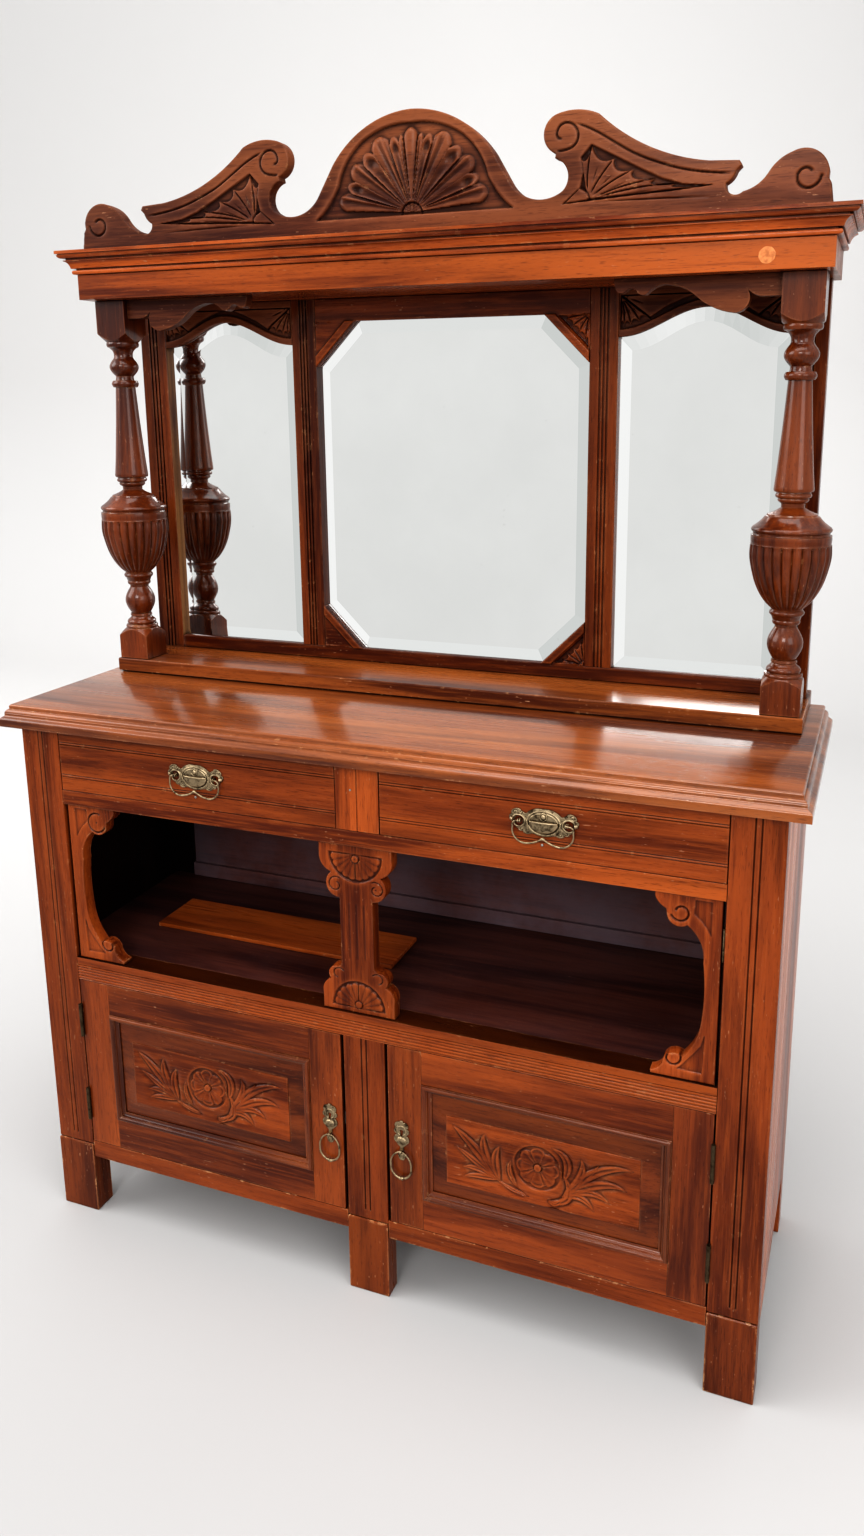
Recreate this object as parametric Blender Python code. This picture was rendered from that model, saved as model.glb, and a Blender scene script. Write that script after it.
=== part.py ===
"""A mahogany mirror-backed sideboard: two cupboards, an open recess, two drawers and a carved
overmantel with three bevelled mirrors between turned columns.

X runs to the right, Y to the back, Z up, in metres. The origin is on the floor, under the middle
of the worktop. Run with: blender --background --python part.py
"""

import math

import bmesh
import bpy
from mathutils import Matrix, Vector

FIT = 0.0003  # gap between pieces that touch
OVERLAP = 0.002  # how far shapes that are glued into one piece run into each other

# Lower case
CASE_WIDTH = 1.216  # over the front posts
CASE_DEPTH = 0.409  # front of the posts to the back of the sides
CASE_HEIGHT = 0.897  # floor to the underside of the worktop
POST_WIDTH = 0.072
POST_DEPTH = 0.038
FOOT_HEIGHT = 0.1355
FOOT_PROUD = 0.002
MUNTIN_WIDTH = 0.070
MUNTIN_DEPTH = 0.029
SIDE_THICK = 0.020
SIDE_BOTTOM = 0.110
REAR_POST = 0.045
BACK_THICK = 0.012
BOTTOM_RAIL_BOTTOM = 0.110
BOTTOM_RAIL_TOP = 0.142
SHELF_RAIL_HEIGHT = 0.040
SHELF_SHARE = 0.55184  # top of the shelf rail as a share of the case's height
DRAWER_RAIL_HEIGHT = 0.0245
DRAWER_SHARE = 0.11483  # drawer openings as a share of the case's height
CUPBOARD_FLOOR_THICK = 0.016
RECESS_FLOOR_THICK = 0.018
DUST_BOARD_THICK = 0.012
GUIDE_HEIGHT = 0.020
GUIDE_WIDTH = 0.052
RECESS_BACK_RAIL_HEIGHT = 0.027
RECESS_BACK_RAIL_PROUD = 0.008
GROOVE_WIDTH = 0.002
GROOVE_DEPTH = 0.0015
POST_GROOVE_GAP = 0.005  # between the two grooves down a post
POST_GROOVE_STOP = 0.015  # above the foot
REED_COUNT = 4
REED_RADIUS = 0.0026

# Worktop
TOP_THICK = 0.035
TOP_OVERHANG_SIDE = 0.029
TOP_OVERHANG_FRONT = 0.018
TOP_OVERHANG_BACK = 0.025

# Fretwork in the recess
FRET_THICK = 0.020
FRET_SETBACK = 0.004
FRET_POST_GAP = 0.0045
FRET_WIDTH = 0.091
FRET_STILE = 0.020
PILASTER_WIDTH = 0.120
PILASTER_STEM = 0.055
PILASTER_SHIFT = -0.008  # the real one was nailed in a little left of the middle

# Loose board that lies in the recess
LOOSE_LENGTH = 0.458
LOOSE_DEPTH = 0.105
LOOSE_THICK = 0.007
LOOSE_MIDDLE_X = -0.246
LOOSE_FRONT = 0.145  # behind the front of the posts

# Drawers
DRAWER_GAP = 0.001
DRAWER_TOP_GAP = 0.0025
DRAWER_FRONT_THICK = 0.020
DRAWER_LENGTH = 0.335
DRAWER_BOX_GAP = 0.004  # beside the box, each side
DRAWER_BOX_DROP = 0.012  # box sides below the top of the front
DRAWER_SIDE_THICK = 0.010
DRAWER_BOTTOM_THICK = 0.006
DRAWER_BOTTOM_RAISE = 0.006
DRAWER_GROOVE_MARGIN = 0.0225  # from the edges of the front to the pairs of grooves
DRAWER_GROOVE_GAP = 0.0045

# Drawer handles
PLATE_WIDTH = 0.100
PLATE_HEIGHT = 0.052
PLATE_THICK = 0.0016
PLATE_RISE = 0.003  # above the middle of the drawer front
LEFT_PLATE_SHIFT = 0.010  # the left handle sits nearer the middle of the case
BOSS_WIDTH = 0.038
BOSS_HEIGHT = 0.026
BOSS_DEPTH = 0.0065
BOSS_STEPS = 4
BOSS_SIDES = 18
BAIL_WIDTH = 0.090
BAIL_DROP = 0.030
BAIL_CUSP = 0.018
BAIL_ROD = 0.0016
BAIL_PIVOT_SPREAD = 0.036
BAIL_PIVOT_OUT = 0.0062
LUG_WIDTH = 0.004
LUG_SIZE = 0.0075
PIVOT_CLEARANCE = 0.0004

# Doors
DOOR_GAP = 0.001
DOOR_HINGE_GAP = 0.002
DOOR_MEETING_GAP = 0.0025
DOOR_THICK = 0.022
DOOR_STILE = 0.056
DOOR_RAIL = 0.055
MOULDING_WIDTH = 0.015
MOULDING_PROUD = 0.005
MOULDING_DROP = 0.006  # from the face of the door down to the panel's groove
PANEL_THICK = 0.012
PANEL_BEVEL = 0.028
PANEL_BEVEL_RISE = 0.007
PANEL_STEP = 0.0012
PANEL_TONGUE = 0.006
HINGE_LENGTH = 0.060
HINGE_BARREL = 0.0030
HINGE_LEAF_DEPTH = 0.018
HINGE_LEAF_THICK = 0.0014
HINGE_INSET = 0.075  # from the door's top and bottom to the middle of a hinge

# Door fittings
ESCUTCHEON_HEIGHT = 0.052
ESCUTCHEON_WIDTH = 0.026
ESCUTCHEON_THICK = 0.0018
ESCUTCHEON_INSET = 0.0245  # from the door's meeting edge
ESCUTCHEON_RISE = 0.004  # above the door's middle
KEYHOLE_RADIUS = 0.0028
KEYHOLE_SLOT = 0.011
RING_WIDTH = 0.034
RING_DROP = 0.046
RING_ROD = 0.0016
RING_PIVOT_OUT = 0.0056
RING_BALL = 0.0034
BOLT_LENGTH = 0.022
BOLT_HEIGHT = 0.022
BOLT_THICK = 0.006
BOLT_THROW = 0.007
BOLT_DEPTH = 0.009  # from the face of the door to the bolt

# Shelf board under the columns
PLINTH_WIDTH = 1.204
PLINTH_DEPTH = 0.178
PLINTH_THICK = 0.025
PLINTH_BACK_SETBACK = 0.007  # from the back edge of the worktop
PLINTH_SHADOW = 0.0025

# Columns
COLUMN_SPREAD = 1.136  # between the columns' axes
COLUMN_FROM_FRONT = 0.031  # plinth's front to the axis
COLUMN_BLOCK = 0.0575
COLUMN_BASE_BLOCK = 0.042  # straight part of the arrises
COLUMN_TOP_BLOCK = 0.054
SHOULDER_SLOPE = 0.95  # rise of the turned shoulder that cuts the blocks' corners
TURNING_UNIT = COLUMN_BLOCK / 57.5  # a millimetre in the drawings of the turnings
URN_REEDS = 24
REED_SHARE = 0.93  # radius in the grooves as a share of the radius on the reeds
COLUMN_SIDES = URN_REEDS

# Mirror frame
FRAME_WIDTH = 1.194
FRAME_THICK = 0.030
FRAME_BACKBOARD = 0.0075
OUTER_STILE = 0.052
INNER_STILE = 0.045
INNER_STILE_SPREAD = 0.482  # between the inner stiles
FRAME_BOTTOM_RAIL = 0.023
FRAME_TOP_RAIL = 0.037
FRAME_LIP = 0.012
REBATE = 0.008
GLASS_THICK = 0.005
GLASS_BEVEL = 0.020
GLASS_BEVEL_FALL = 0.002
CANT = 0.075
CANT_BAR = 0.012
CANT_BAR_PROUD = 0.003
ARCH_LOW = 0.074  # below the soffit, at the stiles
ARCH_RISE = 0.041
ARCH_BAND = 0.010
ARCH_FIELD_SUNK = 0.004

# Canopy
SOFFIT_HEIGHT = 0.649  # above the worktop
CANOPY_WIDTH = 1.216
CANOPY_FRONT = 0.225  # behind the front of the posts
FRIEZE_HEIGHT = 0.040
FRIEZE_THICK = 0.020
SOFFIT_THICK = 0.014
CORNICE_HEIGHT = 0.038
CORNICE_TOP_THICK = 0.012
CORNICE_PROJECTION = 0.030
CORNICE_FRONT_PROJECTION = 0.018
BRACKET_THICK = 0.018
BRACKET_LENGTH = 0.235
BRACKET_HEIGHT = 0.050
BRACKET_SETBACK = 0.035  # behind the front of the canopy

# Pediment
PEDIMENT_THICK = 0.020
PEDIMENT_SETBACK = 0.010  # behind the front of the frieze
PEDIMENT_HALF = 0.600
PEDIMENT_HEIGHT = 0.169
SHELL_WIDTH = 0.252
SHELL_HEIGHT = 0.122
SHELL_RISE = 0.024  # base of the shell above the cornice
SHELL_LOBES = 13
SHELL_VALLEY = 0.90  # reach between the lobes as a share of their tips' reach
SHELL_RELIEF = 0.004

# Places that follow from the sizes above
FRONT = TOP_OVERHANG_FRONT - (TOP_OVERHANG_FRONT + CASE_DEPTH + TOP_OVERHANG_BACK) / 2
BACK = FRONT + CASE_DEPTH
TOP_BACK = BACK + TOP_OVERHANG_BACK
HALF = CASE_WIDTH / 2
POST_INNER = HALF - POST_WIDTH
DRAWER_RAIL_TOP = CASE_HEIGHT * (1 - DRAWER_SHARE)
DRAWER_RAIL_BOTTOM = DRAWER_RAIL_TOP - DRAWER_RAIL_HEIGHT
SHELF_RAIL_TOP = CASE_HEIGHT * SHELF_SHARE
SHELF_RAIL_BOTTOM = SHELF_RAIL_TOP - SHELF_RAIL_HEIGHT
SIDE_INNER = HALF - SIDE_THICK
REAR_INNER = SIDE_INNER - REAR_POST
MUNTIN = MUNTIN_WIDTH / 2
BACK_FRONT = BACK - REAR_POST
WORKTOP_TOP = CASE_HEIGHT + TOP_THICK
PLINTH_BACK = TOP_BACK - PLINTH_BACK_SETBACK
PLINTH_FRONT = PLINTH_BACK - PLINTH_DEPTH
PLINTH_TOP = WORKTOP_TOP + PLINTH_THICK
COLUMN_X = COLUMN_SPREAD / 2
COLUMN_Y = PLINTH_FRONT + COLUMN_FROM_FRONT
SOFFIT = WORKTOP_TOP + SOFFIT_HEIGHT
CANOPY_Y = FRONT + CANOPY_FRONT
FRIEZE_TOP = SOFFIT + FRIEZE_HEIGHT
CORNICE_TOP = FRIEZE_TOP + CORNICE_HEIGHT
FRAME_BACK = BACK - FRAME_BACKBOARD
FRAME_FRONT = FRAME_BACK - FRAME_THICK
FRAME_HALF = FRAME_WIDTH / 2
OUTER_STILE_INNER = FRAME_HALF - OUTER_STILE
INNER_STILE_INNER = INNER_STILE_SPREAD / 2
INNER_STILE_OUTER = INNER_STILE_INNER + INNER_STILE
MIRROR_BOTTOM = PLINTH_TOP + FRAME_BOTTOM_RAIL
CENTRE_MIRROR_TOP = SOFFIT - FRAME_TOP_RAIL
GLASS_FRONT = FRAME_FRONT + FRAME_LIP + FIT


def material(name, color, roughness, metallic=0.0):
    made = bpy.data.materials.new(name)
    made.use_nodes = True
    shader = made.node_tree.nodes["Principled BSDF"]
    shader.inputs["Base Color"].default_value = (*color, 1.0)
    shader.inputs["Roughness"].default_value = roughness
    shader.inputs["Metallic"].default_value = metallic
    return made


def wood(name, color=(0.20, 0.055, 0.022)):
    return material(name + "_mahogany", color, 0.38)


def bright_wood(name):
    return wood(name, (0.38, 0.115, 0.038))


def dark_wood(name):
    return wood(name, (0.075, 0.026, 0.018))


def brass(name):
    return material(name + "_brass", (0.34, 0.25, 0.13), 0.42, 1.0)


def steel(name):
    return material(name + "_steel", (0.40, 0.38, 0.35), 0.4, 1.0)


def pine(name):
    return material(name + "_pine", (0.42, 0.27, 0.14), 0.6)


def glass(name):
    return material(name + "_silvered_glass", (0.86, 0.89, 0.89), 0.03, 1.0)


def made_object(name, bm, look):
    """Turns a bmesh into a linked object with its normals facing out."""
    bmesh.ops.recalc_face_normals(bm, faces=bm.faces)
    mesh = bpy.data.meshes.new(name)
    bm.to_mesh(mesh)
    bm.free()
    obj = bpy.data.objects.new(name, mesh)
    bpy.context.scene.collection.objects.link(obj)
    if look is not None:
        mesh.materials.append(look(name))
    return obj


def smooth(obj, degrees=35):
    obj.data.shade_smooth()
    obj.data.set_sharp_from_angle(angle=math.radians(degrees))
    return obj


def block(name, look, x, y, z):
    """A box between the pairs of limits x, y and z."""
    bm = bmesh.new()
    bmesh.ops.create_cube(bm, size=1.0)
    size = Vector((x[1] - x[0], y[1] - y[0], z[1] - z[0]))
    middle = Vector((x[1] + x[0], y[1] + y[0], z[1] + z[0])) / 2
    bmesh.ops.scale(bm, vec=size, verts=bm.verts)
    bmesh.ops.translate(bm, vec=middle, verts=bm.verts)
    return made_object(name, bm, look)


def prism(name, look, outline, axis, span):
    """A flat outline extruded along an axis. The outline holds (y, z), (x, z) or (x, y)."""
    place = {
        "X": lambda u, v, w: (w, u, v),
        "Y": lambda u, v, w: (u, w, v),
        "Z": lambda u, v, w: (u, v, w),
    }
    bm = bmesh.new()
    face = bm.faces.new([bm.verts.new(place[axis](u, v, span[0])) for u, v in outline])
    grown = bmesh.ops.extrude_face_region(bm, geom=[face])["geom"]
    moved = [item for item in grown if isinstance(item, bmesh.types.BMVert)]
    bmesh.ops.translate(bm, vec=place[axis](0.0, 0.0, span[1] - span[0]), verts=moved)
    return made_object(name, bm, look)


def loft(name, look, loops, closed=False):
    """Skins a row of loops. A loop with twice the points of its neighbour is fanned into it."""
    bm = bmesh.new()
    rows = [[bm.verts.new(point) for point in loop] for loop in loops]
    pairs = list(zip(rows, rows[1:]))
    if closed:
        pairs.append((rows[-1], rows[0]))
    for low, high in pairs:
        few, many = (low, high) if len(low) <= len(high) else (high, low)
        count = len(few)
        for i in range(count):
            here, after = few[i], few[(i + 1) % count]
            if len(few) == len(many):
                bm.faces.new((here, after, many[(i + 1) % count], many[i]))
                continue
            first, middle, last = many[2 * i], many[2 * i + 1], many[(2 * i + 2) % len(many)]
            bm.faces.new((here, middle, first))
            bm.faces.new((here, after, middle))
            bm.faces.new((after, last, middle))
    if not closed:
        bm.faces.new(rows[0])
        bm.faces.new(rows[-1])
    return made_object(name, bm, look)


def rectangle(x, y, z):
    """A level loop of four corners."""
    return [(x[0], y[0], z), (x[1], y[0], z), (x[1], y[1], z), (x[0], y[1], z)]


def upright(x, y, z):
    """A loop of four corners that stands at y."""
    return [(x[0], y, z[0]), (x[1], y, z[0]), (x[1], y, z[1]), (x[0], y, z[1])]


def grown(span, amount):
    return span[0] - amount, span[1] + amount


def hide(helper):
    helper.hide_render = True
    helper.display_type = "WIRE"


def combine(obj, helper, operation):
    """Joins or cuts obj with a helper shape, which stays out of the render."""
    modifier = obj.modifiers.new(helper.name, "BOOLEAN")
    modifier.operation = operation
    modifier.solver = "EXACT"
    modifier.object = helper
    hide(helper)
    return obj


def fuse(obj, helper):
    return combine(obj, helper, "UNION")


def cut(obj, helper):
    return combine(obj, helper, "DIFFERENCE")


class Outline:
    """A flat outline drawn with straight lines and arcs through three points, in its own units."""

    def __init__(self, *start, unit=(1.0, 1.0)):
        self.unit = Vector(unit)
        self.points = [self.sized(start)]

    def sized(self, point):
        return Vector(point) * self.unit

    def line(self, *points):
        self.points.extend(self.sized(point) for point in points)
        return self

    def arc(self, through, end, steps=6):
        a, b, c = self.points[-1], self.sized(through), self.sized(end)
        twice = 2 * (b - a).cross(c - a)
        ab, ac = (b - a).length_squared, (c - a).length_squared
        centre = a + Vector(((c - a).y * ab - (b - a).y * ac, (b - a).x * ac - (c - a).x * ab)) / twice
        radius = (a - centre).length
        first = math.atan2(a.y - centre.y, a.x - centre.x)
        turn = math.atan2(c.y - centre.y, c.x - centre.x) - first
        anticlockwise = twice > 0
        if anticlockwise and turn < 0:
            turn += math.tau
        if not anticlockwise and turn > 0:
            turn -= math.tau
        for i in range(1, steps + 1):
            angle = first + turn * i / steps
            self.points.append(centre + radius * Vector((math.cos(angle), math.sin(angle))))
        return self

    def placed(self, origin, side=1):
        """The points moved to an origin, with x turned round for a left-hand piece."""
        return [(origin[0] + side * p.x, origin[1] + p.y) for p in self.points]

    def doubled(self, origin):
        """The outline with its mirror image about x = 0, for a symmetrical piece."""
        flipped = [(-p.x, p.y) for p in reversed(self.points) if abs(p.x) > 1e-9]
        return [(origin[0] + x, origin[1] + z) for x, z in [tuple(p) for p in self.points] + flipped]


class Turning:
    """A turned profile drawn upwards in millimetres, as straight stretches and swelling curves."""

    def __init__(self, radius):
        self.points = [(radius, 0.0)]

    def to(self, radius, rise):
        self.points.append((radius, self.points[-1][1] + rise))
        return self

    def swell(self, radius, rise, bulge, steps=4):
        start, base = self.points[-1]
        for i in range(1, steps + 1):
            part = i / steps
            bulged = start + (radius - start) * part + bulge * math.sin(math.pi * part)
            self.points.append((bulged, base + rise * part))
        return self

    def height(self):
        return self.points[-1][1] * TURNING_UNIT

    def rings(self, foot):
        """Radii and heights in metres, with the profile's foot at a height."""
        return [(radius * TURNING_UNIT, foot + rise * TURNING_UNIT) for radius, rise in self.points]


def circle(radius, sides, centre, height, groove=1.0):
    """A level ring. With a groove share, each second point lies in a groove between reeds."""
    loop = []
    for i in range(sides):
        angle = math.tau * i / sides
        reach = radius * (groove if i % 2 else 1.0)
        loop.append((centre[0] + reach * math.cos(angle), centre[1] + reach * math.sin(angle), height))
    return loop


def tube(name, look, path, radii, y, sides=8, closed=False):
    """A round rod along a path in the plane at y, with a radius for each point."""
    loops = []
    last = len(path) - 1
    for i, point in enumerate(path):
        before = path[i - 1] if i > 0 or closed else path[i]
        after = path[(i + 1) % len(path)] if i < last or closed else path[i]
        along = (after - before).normalized()
        across = Vector((-along.y, along.x))
        loop = []
        for k in range(sides):
            angle = math.tau * (k + 0.5) / sides
            aside = across * radii[i] * math.cos(angle)
            loop.append((point.x + aside.x, y + radii[i] * math.sin(angle), point.y + aside.y))
        loops.append(loop)
    return smooth(loft(name, look, loops, closed))


def parent_to(name, axis_point, pieces):
    """Hangs the pieces of a moving body on an empty that stands on its joint's axis."""
    pivot = bpy.data.objects.new(name, None)
    pivot.location = axis_point
    bpy.context.scene.collection.objects.link(pivot)
    for piece in pieces:
        piece.parent = pivot
        piece.matrix_parent_inverse = Matrix.Translation(-Vector(axis_point))
    return pivot


def hand(side):
    return "left" if side < 0 else "right"


def sided(side, inner, outer):
    """Limits along X for a piece that lies between two distances from the middle."""
    return (inner, outer) if side > 0 else (-outer, -inner)


def make_posts():
    for side in (-1, 1):
        name = f"post_{hand(side)}"
        post = prism(
            name,
            wood,
            [
                (FRONT - FOOT_PROUD, 0.0),
                (FRONT - FOOT_PROUD, FOOT_HEIGHT - FOOT_PROUD),
                (FRONT, FOOT_HEIGHT),
                (FRONT, CASE_HEIGHT - FIT),
                (FRONT + POST_DEPTH, CASE_HEIGHT - FIT),
                (FRONT + POST_DEPTH, 0.0),
            ],
            "X",
            sided(side, POST_INNER, HALF),
        )
        for shift in (-0.5, 0.5):
            middle = side * (HALF - POST_WIDTH / 2) + shift * POST_GROOVE_GAP
            groove = block(
                f"{name}_groove",
                None,
                grown((middle, middle), GROOVE_WIDTH / 2),
                (FRONT - OVERLAP, FRONT + GROOVE_DEPTH),
                (FOOT_HEIGHT + POST_GROOVE_STOP, CASE_HEIGHT + OVERLAP),
            )
            cut(post, groove)


def make_muntins():
    notch = FRONT + MUNTIN_DEPTH / 2
    lower = prism(
        "muntin_doors",
        wood,
        [
            (FRONT - FOOT_PROUD, 0.0),
            (FRONT - FOOT_PROUD, FOOT_HEIGHT - FOOT_PROUD),
            (FRONT, FOOT_HEIGHT),
            (FRONT, SHELF_RAIL_BOTTOM - FIT),
            (FRONT + MUNTIN_DEPTH, SHELF_RAIL_BOTTOM - FIT),
            (FRONT + MUNTIN_DEPTH, BOTTOM_RAIL_TOP + FIT),
            (notch, BOTTOM_RAIL_TOP + FIT),
            (notch, BOTTOM_RAIL_BOTTOM - FIT),
            (FRONT + MUNTIN_DEPTH, BOTTOM_RAIL_BOTTOM - FIT),
            (FRONT + MUNTIN_DEPTH, 0.0),
        ],
        "X",
        (-MUNTIN, MUNTIN),
    )
    upper = block(
        "muntin_drawers",
        bright_wood,
        (-MUNTIN, MUNTIN),
        (FRONT, FRONT + MUNTIN_DEPTH),
        (DRAWER_RAIL_TOP + FIT, CASE_HEIGHT - FIT),
    )
    for muntin, bottom in ((lower, FOOT_HEIGHT + OVERLAP), (upper, DRAWER_RAIL_TOP - OVERLAP)):
        groove = block(
            f"{muntin.name}_groove",
            None,
            (-GROOVE_WIDTH / 2, GROOVE_WIDTH / 2),
            (FRONT - OVERLAP, FRONT + GROOVE_DEPTH),
            (bottom, CASE_HEIGHT),
        )
        cut(muntin, groove)
    for side in (-1, 1):
        _, bolt_y, bolt_z = bolt_limits(side)
        mortice = block(
            f"mortice_{hand(side)}",
            None,
            sided(side, MUNTIN - BOLT_THROW, MUNTIN + OVERLAP),
            grown(bolt_y, 0.001),
            grown(bolt_z, 0.001),
        )
        cut(lower, mortice)


def make_rails():
    notch = FRONT + MUNTIN_DEPTH / 2 + FIT
    inner = POST_INNER - FIT
    back = FRONT + POST_DEPTH
    half_gap = MUNTIN + FIT
    prism(
        "bottom_rail",
        bright_wood,
        [
            (-inner, FRONT),
            (-half_gap, FRONT),
            (-half_gap, notch),
            (half_gap, notch),
            (half_gap, FRONT),
            (inner, FRONT),
            (inner, back),
            (-inner, back),
        ],
        "Z",
        (BOTTOM_RAIL_BOTTOM, BOTTOM_RAIL_TOP),
    )
    reeds = Outline(back, SHELF_RAIL_BOTTOM).line((FRONT, SHELF_RAIL_BOTTOM))
    height = SHELF_RAIL_BOTTOM + REED_RADIUS / 2
    reeds.line((FRONT, height), (FRONT + REED_RADIUS, height))
    for _ in range(REED_COUNT):
        top = height + 2 * REED_RADIUS
        reeds.arc((FRONT, height + REED_RADIUS), (FRONT + REED_RADIUS, top), 4)
        height = top
    reeds.line((FRONT, height), (FRONT, SHELF_RAIL_TOP), (back, SHELF_RAIL_TOP))
    prism("shelf_rail", bright_wood, reeds.placed((0.0, 0.0)), "X", (-inner, inner))
    block(
        "drawer_rail",
        bright_wood,
        (-inner, inner),
        (FRONT, back),
        (DRAWER_RAIL_BOTTOM, DRAWER_RAIL_TOP),
    )


def make_sides_and_back():
    for side in (-1, 1):
        name = f"side_{hand(side)}"
        board = prism(
            name,
            wood,
            [
                (FRONT + POST_DEPTH + FIT, SIDE_BOTTOM),
                (FRONT + POST_DEPTH + FIT, CASE_HEIGHT - FIT),
                (BACK, CASE_HEIGHT - FIT),
                (BACK, 0.0),
                (BACK_FRONT, 0.0),
                (BACK_FRONT, SIDE_BOTTOM),
            ],
            "X",
            sided(side, SIDE_INNER, HALF),
        )
        rear_post = block(
            f"rear_post_{hand(side)}",
            None,
            sided(side, REAR_INNER, SIDE_INNER + OVERLAP),
            (BACK_FRONT, BACK),
            (0.0, CASE_HEIGHT - FIT),
        )
        fuse(board, rear_post)
    rail_front = BACK_FRONT - RECESS_BACK_RAIL_PROUD
    rail_top = SHELF_RAIL_TOP + RECESS_BACK_RAIL_HEIGHT
    prism(
        "back_panel",
        dark_wood,
        [
            (BACK_FRONT + BACK_THICK, SIDE_BOTTOM),
            (BACK_FRONT + BACK_THICK, CASE_HEIGHT - FIT),
            (BACK_FRONT, CASE_HEIGHT - FIT),
            (BACK_FRONT, rail_top),
            (rail_front, rail_top),
            (rail_front, SHELF_RAIL_TOP + FIT),
            (BACK_FRONT, SHELF_RAIL_TOP + FIT),
            (BACK_FRONT, SIDE_BOTTOM),
        ],
        "X",
        (FIT - REAR_INNER, REAR_INNER - FIT),
    )


def make_floors():
    across = (FIT - SIDE_INNER, SIDE_INNER - FIT)
    along = (FRONT + POST_DEPTH + FIT, BACK_FRONT - FIT)
    floor_top = BOTTOM_RAIL_TOP
    block("cupboard_floor", dark_wood, across, along, (floor_top - CUPBOARD_FLOOR_THICK, floor_top))
    block("recess_floor", dark_wood, across, along, (SHELF_RAIL_TOP - RECESS_FLOOR_THICK, SHELF_RAIL_TOP))
    low = DRAWER_RAIL_TOP - DUST_BOARD_THICK
    guide_top = DRAWER_RAIL_TOP + GUIDE_HEIGHT
    outline = Outline(0.0, low).line(
        (across[1], low),
        (across[1], guide_top),
        (across[1] - GUIDE_WIDTH, guide_top),
        (across[1] - GUIDE_WIDTH, DRAWER_RAIL_TOP),
        (MUNTIN, DRAWER_RAIL_TOP),
        (MUNTIN, guide_top),
        (0.0, guide_top),
    )
    prism("dust_board_with_guides", dark_wood, outline.doubled((0.0, 0.0)), "Y", along)


def make_worktop():
    """The moulded edge runs round the front and the ends, and the back is square."""
    shares = (
        (0.0, 0.0),
        (0.0, 0.34),
        (0.09, 0.43),
        (0.17, 0.49),
        (0.19, 0.60),
        (0.26, 0.71),
        (0.34, 0.79),
        (0.37, 0.89),
        (0.40, 1.0),
    )
    across = HALF + TOP_OVERHANG_SIDE
    front = FRONT - TOP_OVERHANG_FRONT
    loops = []
    for share, rise in shares:
        inset = share * TOP_THICK
        height = CASE_HEIGHT + rise * TOP_THICK
        loops.append(rectangle((inset - across, across - inset), (front + inset, TOP_BACK), height))
    loft("worktop", wood, loops)


def fret_outline(height):
    """Half a C, from its outer bottom corner. X runs inwards from the outer edge."""
    width, stile = FRET_WIDTH, FRET_STILE
    return (
        Outline(0.0, 0.0)
        .line((width - 0.002, 0.0), (width - 0.001, 0.005))
        .arc((width - 0.010, 0.009), (width - 0.018, 0.020), 4)
        .arc((width - 0.029, 0.036), (width - 0.045, 0.034), 5)
        .arc((stile + 0.010, 0.060), (stile + 0.003, 0.086), 5)
        .arc((stile, height / 2), (stile + 0.003, height - 0.095), 4)
        .arc((stile + 0.008, height - 0.066), (stile + 0.026, height - 0.044), 5)
        .arc((width - 0.030, height - 0.047), (width - 0.017, height - 0.033), 5)
        .line((width - 0.016, height - 0.024))
        .arc((width - 0.006, height - 0.017), (width, height - 0.007), 4)
        .line((width, height), (0.0, height))
    )


def pilaster_outline(height):
    """Half of the centre piece, from the middle of its foot."""
    wide, stem = PILASTER_WIDTH / 2, PILASTER_STEM / 2
    return (
        Outline(0.0, 0.0)
        .line((wide, 0.0), (wide, 0.024))
        .arc((wide - 0.002, 0.040), (wide - 0.014, 0.050), 4)
        .arc((wide - 0.011, 0.064), (wide - 0.022, 0.072), 4)
        .arc((stem + 0.003, 0.074), (stem, 0.082), 3)
        .line((stem, height - 0.087))
        .arc((stem + 0.021, height - 0.072), (stem + 0.013, height - 0.047), 6)
        .arc((wide - 0.004, height - 0.036), (wide, height - 0.017), 5)
        .line((wide, height), (0.0, height))
    )


def make_fretwork():
    bottom = SHELF_RAIL_TOP + FIT
    height = DRAWER_RAIL_BOTTOM - FIT - bottom
    depth = (FRONT + FRET_SETBACK, FRONT + FRET_SETBACK + FRET_THICK)
    outer = POST_INNER - FRET_POST_GAP
    for side in (-1, 1):
        outline = fret_outline(height).placed((side * outer, bottom), -side)
        prism(f"fret_frame_{hand(side)}", wood, outline, "Y", depth)
    pilaster = pilaster_outline(height).doubled((PILASTER_SHIFT, bottom))
    prism("centre_pilaster", wood, pilaster, "Y", depth)


def make_loose_board():
    x = grown((LOOSE_MIDDLE_X, LOOSE_MIDDLE_X), LOOSE_LENGTH / 2)
    y = (FRONT + LOOSE_FRONT, FRONT + LOOSE_FRONT + LOOSE_DEPTH)
    bottom = SHELF_RAIL_TOP + FIT
    block("loose_shelf_board", bright_wood, x, y, (bottom, bottom + LOOSE_THICK))


def drawer_front_outline(bottom, top):
    """The front's section, with a pair of fine grooves above and below."""
    outline = Outline(FRONT + DRAWER_FRONT_THICK, bottom).line((FRONT, bottom))
    pair = DRAWER_GROOVE_GAP / 2
    for middle in (bottom + DRAWER_GROOVE_MARGIN, top - DRAWER_GROOVE_MARGIN):
        for height in (middle - pair, middle + pair):
            outline.line(
                (FRONT, height - GROOVE_WIDTH / 2),
                (FRONT + GROOVE_DEPTH, height),
                (FRONT, height + GROOVE_WIDTH / 2),
            )
    return outline.line((FRONT, top), (FRONT + DRAWER_FRONT_THICK, top)).placed((0.0, 0.0))


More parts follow.
